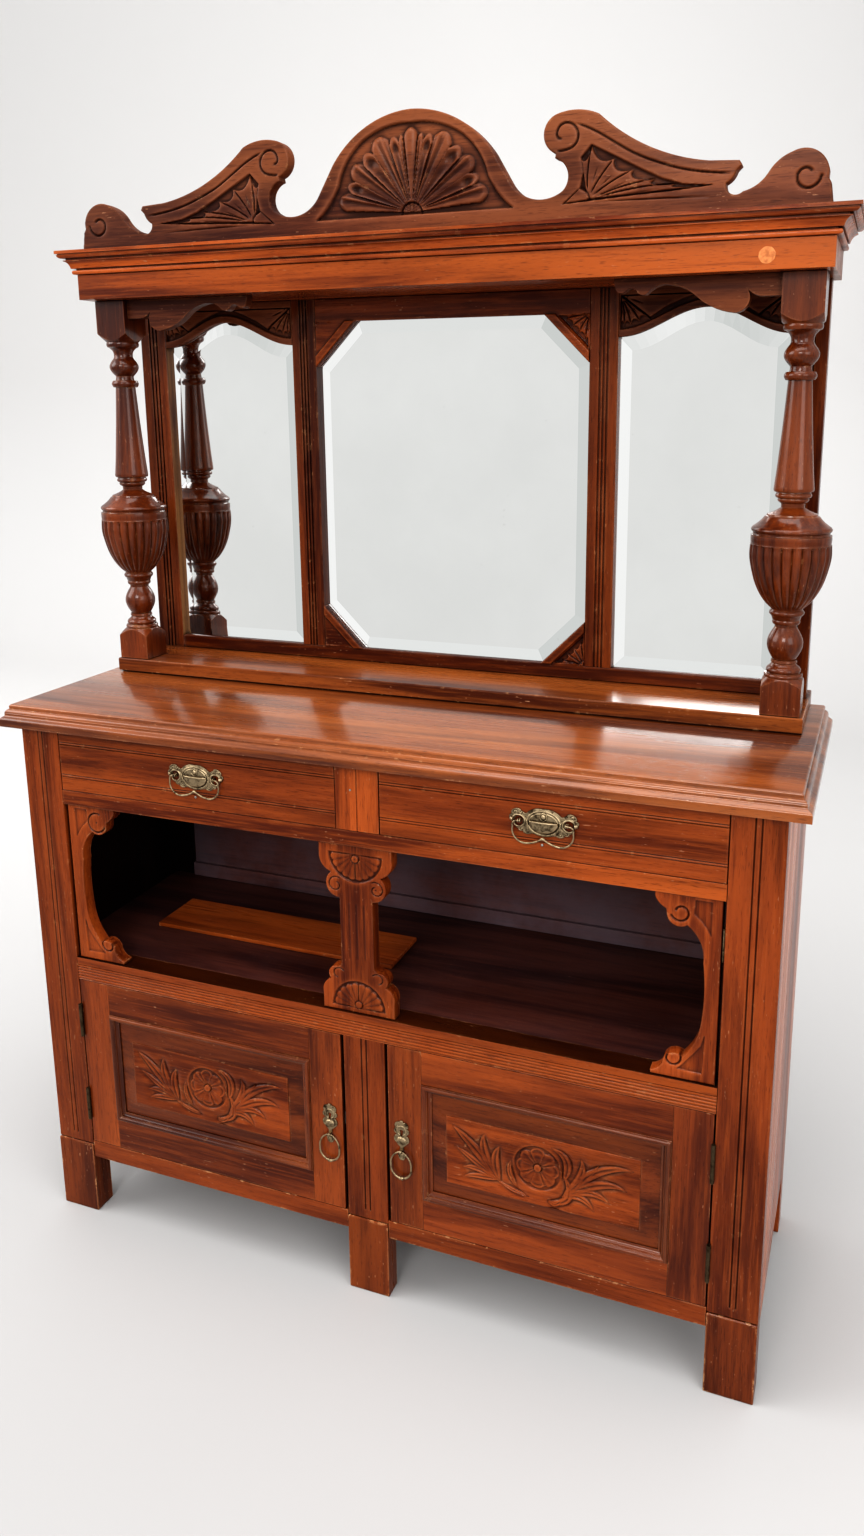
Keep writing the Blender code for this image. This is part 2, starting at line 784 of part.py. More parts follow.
def handle_plate_outline():
    """A quarter-turned cartouche: a wide oval with scrolled ends, from its right-hand end."""
    wide, high = PLATE_WIDTH / 2, PLATE_HEIGHT / 2
    upper = (
        Outline(0.0, high)
        .arc((0.35 * wide, 0.86 * high), (0.60 * wide, 0.42 * high), 5)
        .arc((0.74 * wide, 0.62 * high), (0.90 * wide, 0.48 * high), 4)
        .arc((wide, 0.20 * high), (0.93 * wide, -0.12 * high), 4)
        .arc((0.82 * wide, -0.20 * high), (0.66 * wide, -0.34 * high), 3)
        .arc((0.38 * wide, -0.78 * high), (0.0, -0.92 * high), 5)
    )
    return upper


def bail_path():
    """From the left pivot out, round both loops of the bow, and back in to the right pivot."""
    spread, wide = BAIL_PIVOT_SPREAD, BAIL_WIDTH / 2
    half = (
        Outline(0.0, -BAIL_CUSP)
        .arc((0.30 * wide, -0.84 * BAIL_DROP), (0.50 * wide, -BAIL_DROP), 4)
        .arc((wide - 0.002, -0.46 * BAIL_DROP), (wide - 0.003, -0.16 * BAIL_DROP), 6)
        .arc((spread + 0.005, -0.001), (spread + 0.002, 0.0), 3)
        .line((spread - LUG_WIDTH, 0.0))
    )
    right = half.points
    left = [Vector((-p.x, p.y)) for p in reversed(right[1:])]
    return left + right


def make_drawer(side):
    name = f"drawer_{hand(side)}"
    inner, outer = MUNTIN + DRAWER_GAP, POST_INNER - DRAWER_GAP
    bottom, top = DRAWER_RAIL_TOP + FIT, CASE_HEIGHT - DRAWER_TOP_GAP
    front_outline = drawer_front_outline(bottom, top)
    front = prism(f"{name}_front", wood, front_outline, "X", sided(side, inner, outer))
    box_x = sided(side, inner + DRAWER_BOX_GAP, outer - DRAWER_BOX_GAP)
    box_y = (FRONT + DRAWER_FRONT_THICK + FIT, FRONT + DRAWER_LENGTH)
    wall = DRAWER_SIDE_THICK
    walls = prism(
        f"{name}_box",
        pine,
        [
            (box_x[0], box_y[0]),
            (box_x[0] + wall, box_y[0]),
            (box_x[0] + wall, box_y[1] - wall),
            (box_x[1] - wall, box_y[1] - wall),
            (box_x[1] - wall, box_y[0]),
            (box_x[1], box_y[0]),
            (box_x[1], box_y[1]),
            (box_x[0], box_y[1]),
        ],
        "Z",
        (bottom, top - DRAWER_BOX_DROP),
    )
    floor_z = bottom + DRAWER_BOTTOM_RAISE
    floor = block(
        f"{name}_floor",
        None,
        grown(box_x, -wall / 2),
        (box_y[0], box_y[1] - wall / 2),
        (floor_z, floor_z + DRAWER_BOTTOM_THICK),
    )
    fuse(walls, floor)
    middle = side * (inner + outer) / 2
    if side < 0:
        middle += LEFT_PLATE_SHIFT
    height = (bottom + top) / 2 + PLATE_RISE
    plate, bail = make_handle(name, middle, height)
    parent_to(f"{name}_slide", (middle, FRONT, height), [front, walls, plate])
    parent_to(f"{name}_bail_pivot", (middle, FRONT - BAIL_PIVOT_OUT, height), [bail])


def make_handle(name, middle, height):
    plate = prism(
        f"{name}_handle_plate",
        brass,
        handle_plate_outline().doubled((middle, height)),
        "Y",
        (FRONT - FIT - PLATE_THICK, FRONT - FIT),
    )
    rings = []
    for i in range(BOSS_STEPS):
        rise = math.pi / 2 * i / BOSS_STEPS
        y = FRONT - FIT - PLATE_THICK / 2 - BOSS_DEPTH * math.sin(rise)
        share = math.cos(rise)
        ring = circle(BOSS_WIDTH / 2 * share, BOSS_SIDES, (0.0, 0.0), 0.0)
        rings.append([(middle + x, y, height + z * BOSS_HEIGHT / BOSS_WIDTH) for x, z, _ in ring])
    fuse(plate, loft(f"{name}_boss", None, rings))
    for end in (-1, 1):
        lug_x = middle + end * (BAIL_PIVOT_SPREAD - LUG_WIDTH / 2)
        lug = block(
            f"{name}_lug",
            None,
            grown((lug_x, lug_x), LUG_WIDTH / 2),
            (FRONT - BAIL_PIVOT_OUT - LUG_SIZE / 2, FRONT - FIT - PLATE_THICK / 2),
            grown((height, height), LUG_SIZE / 2),
        )
        hole = BAIL_ROD + PIVOT_CLEARANCE
        path = [Vector((lug_x - LUG_WIDTH, height)), Vector((lug_x + LUG_WIDTH, height))]
        drill = tube(f"{name}_lug_hole", None, path, [hole, hole], FRONT - BAIL_PIVOT_OUT, 12)
        fuse(plate, cut(lug, drill))
    path = [Vector((middle + p.x, height + p.y)) for p in bail_path()]
    radii = [BAIL_ROD] * len(path)
    bail = tube(f"{name}_bail", brass, path, radii, FRONT - BAIL_PIVOT_OUT)
    return plate, bail


def door_limits(side):
    """Where a door lies: its X limits, from hinge and meeting gaps, and its Z limits."""
    x = sided(side, MUNTIN + DOOR_MEETING_GAP, POST_INNER - DOOR_HINGE_GAP)
    return x, (BOTTOM_RAIL_TOP + DOOR_GAP, SHELF_RAIL_BOTTOM - DOOR_GAP)


def bolt_limits(side):
    x = sided(side, MUNTIN + DOOR_MEETING_GAP + FIT, MUNTIN + DOOR_MEETING_GAP + FIT + BOLT_LENGTH)
    y = (FRONT + BOLT_DEPTH, FRONT + BOLT_DEPTH + BOLT_THICK)
    _, door_z = door_limits(side)
    middle = (door_z[0] + door_z[1]) / 2 + ESCUTCHEON_RISE
    return x, y, grown((middle, middle), BOLT_HEIGHT / 2)


def make_door(side):
    name = f"door_{hand(side)}"
    x, z = door_limits(side)
    back = FRONT + DOOR_THICK
    edge_x, edge_z = DOOR_STILE, DOOR_RAIL
    groove_y = FRONT + MOULDING_DROP
    section = (
        (0.0, FRONT),
        (1.0, FRONT),
        (1.0, FRONT - MOULDING_PROUD * 0.4),
        (1.0 + 0.2, FRONT - MOULDING_PROUD * 0.85),
        (1.0 + 0.45, FRONT - MOULDING_PROUD),
        (1.0 + 0.75, FRONT - MOULDING_PROUD * 0.6),
        (1.0 + 0.9, FRONT),
        (2.0, groove_y),
        (1.0 + 0.5, groove_y),
        (1.0 + 0.5, groove_y + PANEL_THICK + 2 * FIT),
        (2.0, groove_y + PANEL_THICK + 2 * FIT),
        (2.0, back),
        (0.0, back),
    )
    loops = []
    for place, y in section:
        over = max(place - 1.0, 0.0) * MOULDING_WIDTH
        across = min(place, 1.0) * edge_x + over
        along = min(place, 1.0) * edge_z + over
        loops.append(upright(grown(x, -across), y, grown(z, -along)))
    frame = loft(f"{name}_frame", wood, loops, closed=True)
    bolt_x, bolt_y, bolt_z = bolt_limits(side)
    slot = block(
        f"{name}_bolt_slot",
        None,
        sided(side, MUNTIN, MUNTIN + DOOR_MEETING_GAP + 2 * FIT + BOLT_LENGTH),
        grown(bolt_y, FIT),
        grown(bolt_z, FIT),
    )
    cut(frame, slot)
    panel = make_door_panel(name, x, z)
    bolt = block(f"{name}_lock_bolt", steel, bolt_x, bolt_y, bolt_z)
    hinges = make_hinges(name, side, z)
    middle = side * (MUNTIN + DOOR_MEETING_GAP + ESCUTCHEON_INSET)
    height = (bolt_z[0] + bolt_z[1]) / 2
    escutcheon, ring = make_door_pull(name, middle, height)
    axis = (side * (POST_INNER - DOOR_HINGE_GAP / 2), FRONT - HINGE_BARREL - FIT, z[0])
    parent_to(f"{name}_hinge_line", axis, [frame, panel, escutcheon, *hinges])
    parent_to(f"{name}_bolt_slide", (bolt_x[0], bolt_y[0], bolt_z[0]), [bolt])
    ring_height = height - ESCUTCHEON_HEIGHT / 2
    parent_to(f"{name}_ring_pivot", (middle, FRONT - RING_PIVOT_OUT, ring_height), [ring])


def make_door_panel(name, x, z):
    """A panel with a broad bevel up to a raised field, held by its tongue."""
    back = FRONT + MOULDING_DROP + FIT + PANEL_THICK
    sight_x = grown(x, -DOOR_STILE - MOULDING_WIDTH)
    sight_z = grown(z, -DOOR_RAIL - MOULDING_WIDTH)
    tongue = FRONT + MOULDING_DROP + FIT
    field = FRONT + MOULDING_DROP - PANEL_BEVEL_RISE
    steps = (
        (PANEL_TONGUE, back),
        (PANEL_TONGUE, tongue),
        (-FIT, tongue),
        (-PANEL_BEVEL, field + PANEL_STEP),
        (-PANEL_BEVEL, field),
    )
    loops = [upright(grown(sight_x, out), y, grown(sight_z, out)) for out, y in steps]
    return loft(f"{name}_panel", wood, loops)


def make_hinges(name, side, z):
    """Barrel and door leaf of each butt hinge. The barrel's middle is the door's axis."""
    axis_x = side * (POST_INNER - DOOR_HINGE_GAP / 2)
    axis_y = FRONT - HINGE_BARREL - FIT
    leaf = HINGE_LEAF_THICK / 2
    meet = math.sqrt(HINGE_BARREL**2 - leaf**2)
    outline = (
        Outline(-leaf, meet)
        .arc((0.0, -HINGE_BARREL), (leaf, meet), 12)
        .line((leaf, HINGE_LEAF_DEPTH), (-leaf, HINGE_LEAF_DEPTH))
        .placed((axis_x, axis_y))
    )
    hinges = []
    for place, middle in (("lower", z[0] + HINGE_INSET), ("upper", z[1] - HINGE_INSET)):
        span = grown((middle, middle), HINGE_LENGTH / 2)
        hinges.append(smooth(prism(f"{name}_hinge_{place}", brass, outline, "Z", span)))
    return hinges


def make_door_pull(name, middle, height):
    wide, high = ESCUTCHEON_WIDTH / 2, ESCUTCHEON_HEIGHT / 2
    outline = (
        Outline(0.0, high)
        .arc((0.55 * wide, 0.88 * high), (0.72 * wide, 0.55 * high), 4)
        .arc((wide, 0.34 * high), (0.72 * wide, 0.04 * high), 4)
        .arc((0.95 * wide, -0.24 * high), (0.60 * wide, -0.52 * high), 4)
        .arc((0.45 * wide, -0.86 * high), (0.0, -high), 4)
    )
    front = FRONT - FIT - ESCUTCHEON_THICK
    plate = prism(f"{name}_escutcheon", brass, outline.doubled((middle, height)), "Y", (front, FRONT - FIT))
    hole = circle(KEYHOLE_RADIUS, 12, (0.0, 0.0), 0.0)
    hole_loops = [
        [(middle + x, y, height + 0.30 * high + z) for x, z, _ in hole]
        for y in (front - OVERLAP, FRONT + OVERLAP)
    ]
    cut(plate, loft(f"{name}_keyhole", None, hole_loops))
    slot_top = height + 0.30 * high
    slot = block(
        f"{name}_keyhole_slot",
        None,
        grown((middle, middle), KEYHOLE_RADIUS / 2),
        (front - OVERLAP, FRONT + OVERLAP),
        (slot_top - KEYHOLE_SLOT, slot_top),
    )
    cut(plate, slot)
    pivot = height - high
    lug = block(
        f"{name}_knuckle",
        None,
        grown((middle, middle), LUG_WIDTH / 2),
        (FRONT - RING_PIVOT_OUT - LUG_SIZE / 2, FRONT - FIT),
        grown((pivot, pivot), LUG_SIZE / 2),
    )
    hole = RING_ROD + PIVOT_CLEARANCE
    path = [Vector((middle - LUG_WIDTH, pivot)), Vector((middle + LUG_WIDTH, pivot))]
    drill = tube(f"{name}_knuckle_hole", None, path, [hole, hole], FRONT - RING_PIVOT_OUT, 12)
    fuse(plate, cut(lug, drill))
    half = (
        Outline(0.0, 0.0)
        .line((LUG_WIDTH, 0.0))
        .arc((0.42 * RING_WIDTH, -0.22 * RING_DROP), (RING_WIDTH / 2, -0.55 * RING_DROP), 5)
        .arc((0.36 * RING_WIDTH, -0.87 * RING_DROP), (0.0, -RING_DROP), 6)
    )
    path = [Vector(point) for point in half.doubled((middle, pivot))]
    bottom = pivot - RING_DROP
    radii = [RING_BALL if abs(p.x - middle) < 1e-6 and p.y < bottom + 1e-4 else RING_ROD for p in path]
    ring = tube(f"{name}_ring", brass, path, radii, FRONT - RING_PIVOT_OUT, closed=True)
    return plate, ring


def make_plinth_board():
    x = (-PLINTH_WIDTH / 2, PLINTH_WIDTH / 2)
    steps = (
        (0.004, WORKTOP_TOP + FIT),
        (0.004, WORKTOP_TOP + PLINTH_SHADOW),
        (0.0, WORKTOP_TOP + PLINTH_SHADOW),
        (0.0, PLINTH_TOP - 0.002),
        (0.001, PLINTH_TOP),
    )
    loops = [rectangle(grown(x, -inset), (PLINTH_FRONT + inset, PLINTH_BACK), z) for inset, z in steps]
    loft("column_shelf", wood, loops)


def lower_turning():
    """From the shoulder of the base block up to the first ring under the urn."""
    return (
        Turning(27.2)
        .swell(26.6, 5.5, 1.0, 2)
        .to(23.6, 1.0)
        .swell(23.0, 8.0, 1.8, 2)
        .swell(17.6, 6.0, -0.8, 2)
        .to(18.9, 1.5)
        .to(18.4, 3.5)
        .swell(16.0, 48.5, 9.6, 5)
        .to(16.2, 4.5)
        .to(19.4, 2.0)
        .to(19.4, 4.5)
        .to(21.5, 5.5)
        .swell(22.3, 10.0, 3.2, 2)
        .to(23.0, 1.5)
    )


def urn_turning(start):
    """The reeded bowl of the urn."""
    for radius, rise in ((31.5, 8.0), (40.5, 12.5), (48.8, 17.5), (55.0, 22.0), (57.8, 17.0)):
        start.to(radius, rise)
    return start.to(57.2, 17.0)


def urn_cap_turning(start):
    """The plain band over the reeds, the stepped dome, the neck and two rings."""
    return (
        start.to(56.2, 0.5)
        .to(56.6, 13.0)
        .to(54.0, 0.8)
        .to(54.0, 2.7)
        .swell(55.0, 7.5, 2.2, 2)
        .swell(38.2, 15.5, -1.6, 2)
        .to(36.0, 0.7)
        .to(35.5, 2.3)
        .swell(16.6, 9.5, -1.8, 2)
        .to(16.8, 5.5)
        .swell(21.4, 7.5, 2.4, 2)
        .to(24.2, 1.0)
        .swell(24.2, 6.0, 1.4, 2)
        .to(24.0, 1.5)
    )


def upper_turning():
    """From the top of the shaft up to the shoulder of the top block."""
    return (
        Turning(16.6)
        .to(20.5, 1.8)
        .swell(20.3, 9.7, 2.3, 2)
        .to(14.8, 5.0)
        .to(14.8, 2.5)
        .swell(17.0, 29.5, 8.4, 4)
        .to(15.8, 3.0)
        .to(15.8, 5.0)
        .swell(22.5, 10.0, -1.5, 2)
        .to(25.8, 1.5)
        .swell(26.4, 7.5, 1.0, 2)
    )


def square_end(half, centre, far, arris_end, round_radius, up):
    """Loops of a square block: its end, the arches its shoulder leaves on the faces, and a ring."""
    corner = half * math.sqrt(2)
    square, arches = [], []
    for x, y, _ in circle(1.0, COLUMN_SIDES, (0.0, 0.0), 0.0):
        reach = half / max(abs(x), abs(y))
        place = (centre[0] + reach * x, centre[1] + reach * y)
        square.append((*place, far))
        arches.append((*place, arris_end + up * (corner - reach) * SHOULDER_SLOPE))
    ring_height = arris_end + up * (corner - round_radius) * SHOULDER_SLOPE
    return [square, arches, circle(round_radius, COLUMN_SIDES, centre, ring_height)], ring_height


def make_columns():
    """Each column has square ends whose corners run out under a turned shoulder."""
    half = COLUMN_BLOCK / 2
    lower = lower_turning()
    plain_end = len(lower.points)
    urn_end = len(urn_turning(lower).points)
    urn_cap_turning(lower)
    upper = upper_turning()
    base, top = PLINTH_TOP + FIT, SOFFIT - FIT
    for side in (-1, 1):
        centre = (side * COLUMN_X, COLUMN_Y)
        round_low = lower.points[0][0] * TURNING_UNIT - FIT
        round_high = upper.points[-1][0] * TURNING_UNIT - FIT
        loops, foot = square_end(half, centre, base, base + COLUMN_BASE_BLOCK, round_low, 1)
        ends, head = square_end(half, centre, top, top - COLUMN_TOP_BLOCK, round_high, -1)
        rings = lower.rings(foot)
        neck = upper.rings(head - upper.height())
        shaft_foot, shaft_top = rings[-1][1], neck[0][1]
        for share, radius in ((0.0, 27.4), (0.02, 28.3), (0.22, 25.3), (0.62, 20.4)):
            height = shaft_foot + TURNING_UNIT + share * (shaft_top - shaft_foot)
            rings.append((radius * TURNING_UNIT, height))
        rings += neck
        for i, (radius, height) in enumerate(rings):
            reeded = plain_end <= i < urn_end
            sides = 2 * URN_REEDS if reeded else COLUMN_SIDES
            loops.append(circle(radius, sides, centre, height, REED_SHARE if reeded else 1.0))
        loops += reversed(ends)
        smooth(loft(f"column_{hand(side)}", wood, loops))


def rebated(name, outline, inset_outline):
    """A frame member: a front lip, and behind it a shape that leaves room for the glass."""
    lip = prism(name, wood, outline, "Y", (FRAME_FRONT, FRAME_FRONT + FRAME_LIP))
    depth = (FRAME_FRONT + FRAME_LIP - OVERLAP, FRAME_BACK)
    return fuse(lip, prism(f"{name}_behind", None, inset_outline, "Y", depth))


def stile_section(inner, outer, rebate_inner, rebate_outer):
    """Plan of a stile, from its front, with a pair of grooves and a rebate on each glazed edge."""
    middle, gap = (inner + outer) / 2, 0.006
    front, lip = FRAME_FRONT, FRAME_FRONT + FRAME_LIP
    section = Outline(inner, front)
    for groove in (middle - gap, middle, middle + gap):
        section.line((groove - 0.0015, front), (groove, front + 0.002), (groove + 0.0015, front))
    section.line((outer, front))
    if rebate_outer:
        section.line((outer, lip), (outer - REBATE, lip), (outer - REBATE, FRAME_BACK))
    else:
        section.line((outer, FRAME_BACK))
    if rebate_inner:
        section.line((inner + REBATE, FRAME_BACK), (inner + REBATE, lip), (inner, lip))
    else:
        section.line((inner, FRAME_BACK))
    return section


def make_stiles():
    top = SOFFIT - FIT
    for side in (-1, 1):
        outer = stile_section(OUTER_STILE_INNER, FRAME_HALF, True, False).placed((0.0, 0.0), side)
        prism(f"outer_stile_{hand(side)}", wood, outer, "Z", (PLINTH_TOP + FIT, top))
        inner = stile_section(INNER_STILE_INNER, INNER_STILE_OUTER, True, True).placed((0.0, 0.0), side)
        prism(f"inner_stile_{hand(side)}", wood, inner, "Z", (MIRROR_BOTTOM + FIT, top))


def make_frame_rails():
    """The bottom rail carries the inner stiles. It and the top rail hold the canted corners."""
    wide = OUTER_STILE_INNER - FIT
    inner = INNER_STILE_INNER - FIT
    low, high = PLINTH_TOP + FIT, MIRROR_BOTTOM

    lip = (
        Outline(0.0, low)
        .line((wide, low), (wide, high), (inner, high), (inner, high + CANT), (inner - CANT, high))
        .line((0.0, high))
        .doubled((0.0, 0.0))
    )
    back = [(-wide, low), (wide, low), (wide, high - REBATE), (-wide, high - REBATE)]
    rail = rebated("frame_bottom_rail", lip, back)
    top, edge = SOFFIT - FIT, CENTRE_MIRROR_TOP
    lip = (
        Outline(0.0, edge)
        .line((inner - CANT, edge), (inner, edge - CANT), (inner, top), (0.0, top))
        .doubled((0.0, 0.0))
    )
    back = [(-inner, edge + REBATE), (inner, edge + REBATE), (inner, top), (-inner, top)]
    top_rail = rebated("frame_top_rail", lip, back)
    for piece, corner_z, up in ((rail, high, 1), (top_rail, edge, -1)):
        for side in (-1, 1):
            reach = CANT - 0.001
            bar = [
                (side * inner, corner_z + up * reach),
                (side * (inner - reach), corner_z),
                (side * (inner - reach + CANT_BAR * math.sqrt(2)), corner_z),
                (side * inner, corner_z + up * (reach - CANT_BAR * math.sqrt(2))),
            ]
            name = f"{piece.name}_bar_{hand(side)}"
            fuse(piece, prism(name, None, bar, "Y", (FRAME_FRONT - CANT_BAR_PROUD, FRAME_FRONT + OVERLAP)))


def arch_points(rise=0.0, inset=FIT, steps=16):
    """The ogee edge over a side mirror, from inner to outer stile: (x, height over its ends)."""
    low = INNER_STILE_OUTER + inset
    wide = OUTER_STILE_INNER - inset - low
    crown = 0.52
    points = []
    for i in range(steps + 1):
        part = i / steps
        away = abs(part - crown) / (crown if part < crown else 1 - crown)
        points.append((low + wide * part, ARCH_RISE * (1 + math.cos(math.pi * away)) / 2 + rise))
    return points


def make_arch_heads():
    top = SOFFIT - FIT
    base = SOFFIT - ARCH_LOW
    for side in (-1, 1):
        low = [(side * x, base + z) for x, z in arch_points()]
        ends = [(low[-1][0], top), (low[0][0], top)]
        behind = [(side * x, base + z) for x, z in arch_points(REBATE)]
        head = rebated(f"arch_head_{hand(side)}", low + ends, behind + ends)
        sunk = [(side * x, base + z) for x, z in arch_points(ARCH_BAND)]
        sunk[0] = (sunk[0][0] + side * 0.001, sunk[0][1])
        sunk[-1] = (sunk[-1][0] - side * 0.001, sunk[-1][1])
        over = [(sunk[-1][0], top - 0.012), (sunk[0][0], top - 0.012)]
        depth = (FRAME_FRONT - OVERLAP, FRAME_FRONT + ARCH_FIELD_SUNK)
        cut(head, prism(f"arch_field_{hand(side)}", None, sunk + over, "Y", depth))


def make_glass(name, edge, bevel):
    """Silvered plate from its edge to the inner line of the bevel ground round its front."""
    loops = []
    for outline, y in (
        (edge, GLASS_FRONT + GLASS_THICK),
        (edge, GLASS_FRONT + GLASS_BEVEL_FALL),
        (bevel, GLASS_FRONT),
    ):
        loops.append([(x, y, z) for x, z in outline])
    loft(name, glass, loops)


def canted_outline(grow):
    """The centre mirror's opening, with its cut corners, grown or shrunk all round."""
    half = INNER_STILE_INNER + grow
    low, high = MIRROR_BOTTOM - grow, CENTRE_MIRROR_TOP + grow
    cant = CANT + grow * (2 - math.sqrt(2))
    right = Outline(0.0, low).line((half - cant, low), (half, low + cant))
    return right.line((half, high - cant), (half - cant, high), (0.0, high)).doubled((0.0, 0.0))


def arched_outline(side, grow):
    """A side mirror's opening, grown or shrunk all round."""
    base = SOFFIT - ARCH_LOW
    arch = arch_points(grow, FIT if grow > 0 else -grow)
    reach = max(grow, 0.0)
    arch.insert(0, (arch[0][0] - reach - FIT, arch[0][1] - FIT))
    arch.append((arch[-1][0] + reach + FIT, arch[-1][1] - FIT))
    low = MIRROR_BOTTOM - grow
    edge = [(side * x, base + z) for x, z in arch]
    return edge + [(edge[-1][0], low), (edge[0][0], low)]


def make_mirrors():
    tuck = REBATE - 3 * FIT
    make_glass("mirror_centre", canted_outline(tuck), canted_outline(-GLASS_BEVEL))
    for side in (-1, 1):
        edge = arched_outline(side, tuck)
        make_glass(f"mirror_{hand(side)}", edge, arched_outline(side, -GLASS_BEVEL))
    block(
        "mirror_backboard",
        pine,
        (-FRAME_HALF + 0.004, FRAME_HALF - 0.004),
        (FRAME_BACK + FIT, BACK),
        (PLINTH_TOP + FIT, SOFFIT - FIT),
    )


def make_canopy():
    x = (-CANOPY_WIDTH / 2, CANOPY_WIDTH / 2)
    y = (CANOPY_Y, BACK)
    inner_x, inner_y = grown(x, -FRIEZE_THICK), grown(y, -FRIEZE_THICK)
    loops = [
        rectangle(x, y, SOFFIT),
        rectangle(x, y, FRIEZE_TOP - FIT),
        rectangle(inner_x, inner_y, FRIEZE_TOP - FIT),
        rectangle(inner_x, inner_y, SOFFIT + SOFFIT_THICK),
    ]
    loft("frieze_and_soffit", bright_wood, loops)
    hollow = FRIEZE_TOP + CORNICE_HEIGHT - CORNICE_TOP_THICK
    shares = (
        (0.0, 0.0),
        (0.17, 0.13),
        (0.27, 0.26),
        (0.57, 0.50),
        (0.60, 0.76),
        (0.90, 0.84),
        (1.0, 0.87),
        (1.0, 1.0),
    )
    loops = [rectangle(inner_x, inner_y, hollow), rectangle(inner_x, inner_y, FRIEZE_TOP)]
    for out, rise in shares:
        sides = grown(x, out * CORNICE_PROJECTION)
        front = CANOPY_Y - out * CORNICE_FRONT_PROJECTION
        loops.append(rectangle(sides, (front, BACK), FRIEZE_TOP + rise * CORNICE_HEIGHT))
    loft("cornice", bright_wood, loops)


def make_brackets():
    """Scalloped rails under the soffit, from each column's top block inwards."""
    outer = COLUMN_X - COLUMN_BLOCK / 2 - FIT
    top = SOFFIT - FIT
    front = CANOPY_Y + BRACKET_SETBACK
    for side in (-1, 1):
        outline = (
            Outline(0.0, 0.0, unit=(BRACKET_LENGTH, BRACKET_HEIGHT))
            .line((0.0, -0.60), (0.094, -0.60))
            .arc((0.179, -0.40), (0.170, -0.72), 5)
            .arc((0.196, -1.0), (0.255, -1.0), 4)
            .arc((0.426, -0.68), (0.660, -0.20), 6)
            .arc((0.732, -0.26), (0.770, -0.36), 3)
            .arc((0.800, -0.50), (0.830, -0.36), 4)
            .arc((0.885, -0.24), (0.940, -0.40), 4)
            .arc((0.998, -0.36), (1.0, -0.12), 4)
            .line((1.0, 0.0))
        )
        placed = outline.placed((side * outer, top), -side)
        prism(f"valance_{hand(side)}", wood, placed, "Y", (front, front + BRACKET_THICK))


def pediment_outline():
    """Right half of the crest, as shares of its half width and of its height."""
    return (
        Outline(0.0, 1.0, unit=(PEDIMENT_HALF, PEDIMENT_HEIGHT))
        .arc((0.134, 0.864), (0.217, 0.586), 10)
        .line((0.257, 0.349))
        .arc((0.328, 0.189), (0.387, 0.243), 7)
        .arc((0.400, 0.379), (0.368, 0.503), 6)
        .line((0.370, 0.538))
        .arc((0.340, 0.692), (0.373, 0.846), 7)
        .arc((0.423, 0.864), (0.473, 0.817), 5)
        .arc((0.592, 0.535), (0.728, 0.393), 9)
        .line((0.795, 0.379), (0.800, 0.343), (0.790, 0.308))
        .arc((0.782, 0.254), (0.767, 0.213), 3)
        .arc((0.777, 0.136), (0.818, 0.142), 6)
        .line((0.880, 0.343))
        .arc((0.937, 0.432), (0.987, 0.243), 8)
        .line((0.987, 0.201), (0.993, 0.172), (1.0, 0.0), (0.0, 0.0))
    )


def shell_outline():
    """Scalloped edge of the shell: lobes round half an ellipse, as shares of its size."""
    outline = Outline(1.0, 0.0, unit=(SHELL_WIDTH / 2, SHELL_HEIGHT))
    turn = math.pi / SHELL_LOBES
    for i in range(SHELL_LOBES):
        crest = (i + 0.5) * turn
        valley = (i + 1) * turn
        outline.arc(
            (math.cos(crest), math.sin(crest)),
            (SHELL_VALLEY * math.cos(valley), SHELL_VALLEY * math.sin(valley)),
            4,
        )
    return outline


def make_pediment():
    front = CANOPY_Y + PEDIMENT_SETBACK
    base = CORNICE_TOP + FIT
    outline = pediment_outline().doubled((0.0, base))
    board = prism("pediment", wood, outline, "Y", (front, front + PEDIMENT_THICK))
    shell = shell_outline().placed((0.0, base + SHELL_RISE))
    fuse(board, prism("pediment_shell", None, shell, "Y", (front - SHELL_RELIEF, front + OVERLAP)))


def main():
    for obj in list(bpy.data.objects):
        bpy.data.objects.remove(obj)
    make_posts()
    make_muntins()
    make_rails()
    make_sides_and_back()
    make_floors()
    make_worktop()
    make_fretwork()
    make_loose_board()
    for side in (-1, 1):
        make_drawer(side)
        make_door(side)
    make_plinth_board()
    make_columns()
    make_stiles()
    make_frame_rails()
    make_arch_heads()
    make_mirrors()
    make_canopy()
    make_brackets()
    make_pediment()


main()
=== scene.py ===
"""Looks for a mahogany mirror-backed sideboard: polished and worn wood, carving, turned columns,
cast brass fittings, silvered mirrors, and a pale studio.

Everything is in metres. X runs to the right, Y to the back, Z up, and the floor is at 0.
"""

import math

import bmesh
import bpy
import numpy as np
from bpy.props import FloatProperty, FloatVectorProperty, IntProperty, PointerProperty
from bpy.types import Operator, Panel, PropertyGroup
from mathutils import Matrix, Vector


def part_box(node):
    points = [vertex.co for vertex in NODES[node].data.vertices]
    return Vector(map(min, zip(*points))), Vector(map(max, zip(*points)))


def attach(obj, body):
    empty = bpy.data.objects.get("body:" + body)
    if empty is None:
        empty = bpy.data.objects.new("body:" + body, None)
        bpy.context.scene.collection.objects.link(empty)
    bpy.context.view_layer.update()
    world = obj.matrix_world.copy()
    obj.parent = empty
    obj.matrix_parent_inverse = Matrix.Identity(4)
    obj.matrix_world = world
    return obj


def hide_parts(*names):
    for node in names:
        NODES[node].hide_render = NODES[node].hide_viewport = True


bl_info = {
    "name": "Mirror-Backed Sideboard",
    "version": (1, 0, 0),
    "blender": (4, 5, 0),
    "location": "View3D > Sidebar > Sideboard",
    "description": "Dresses the frame of a carved mahogany sideboard and sets up its studio",
    "category": "Object",
}

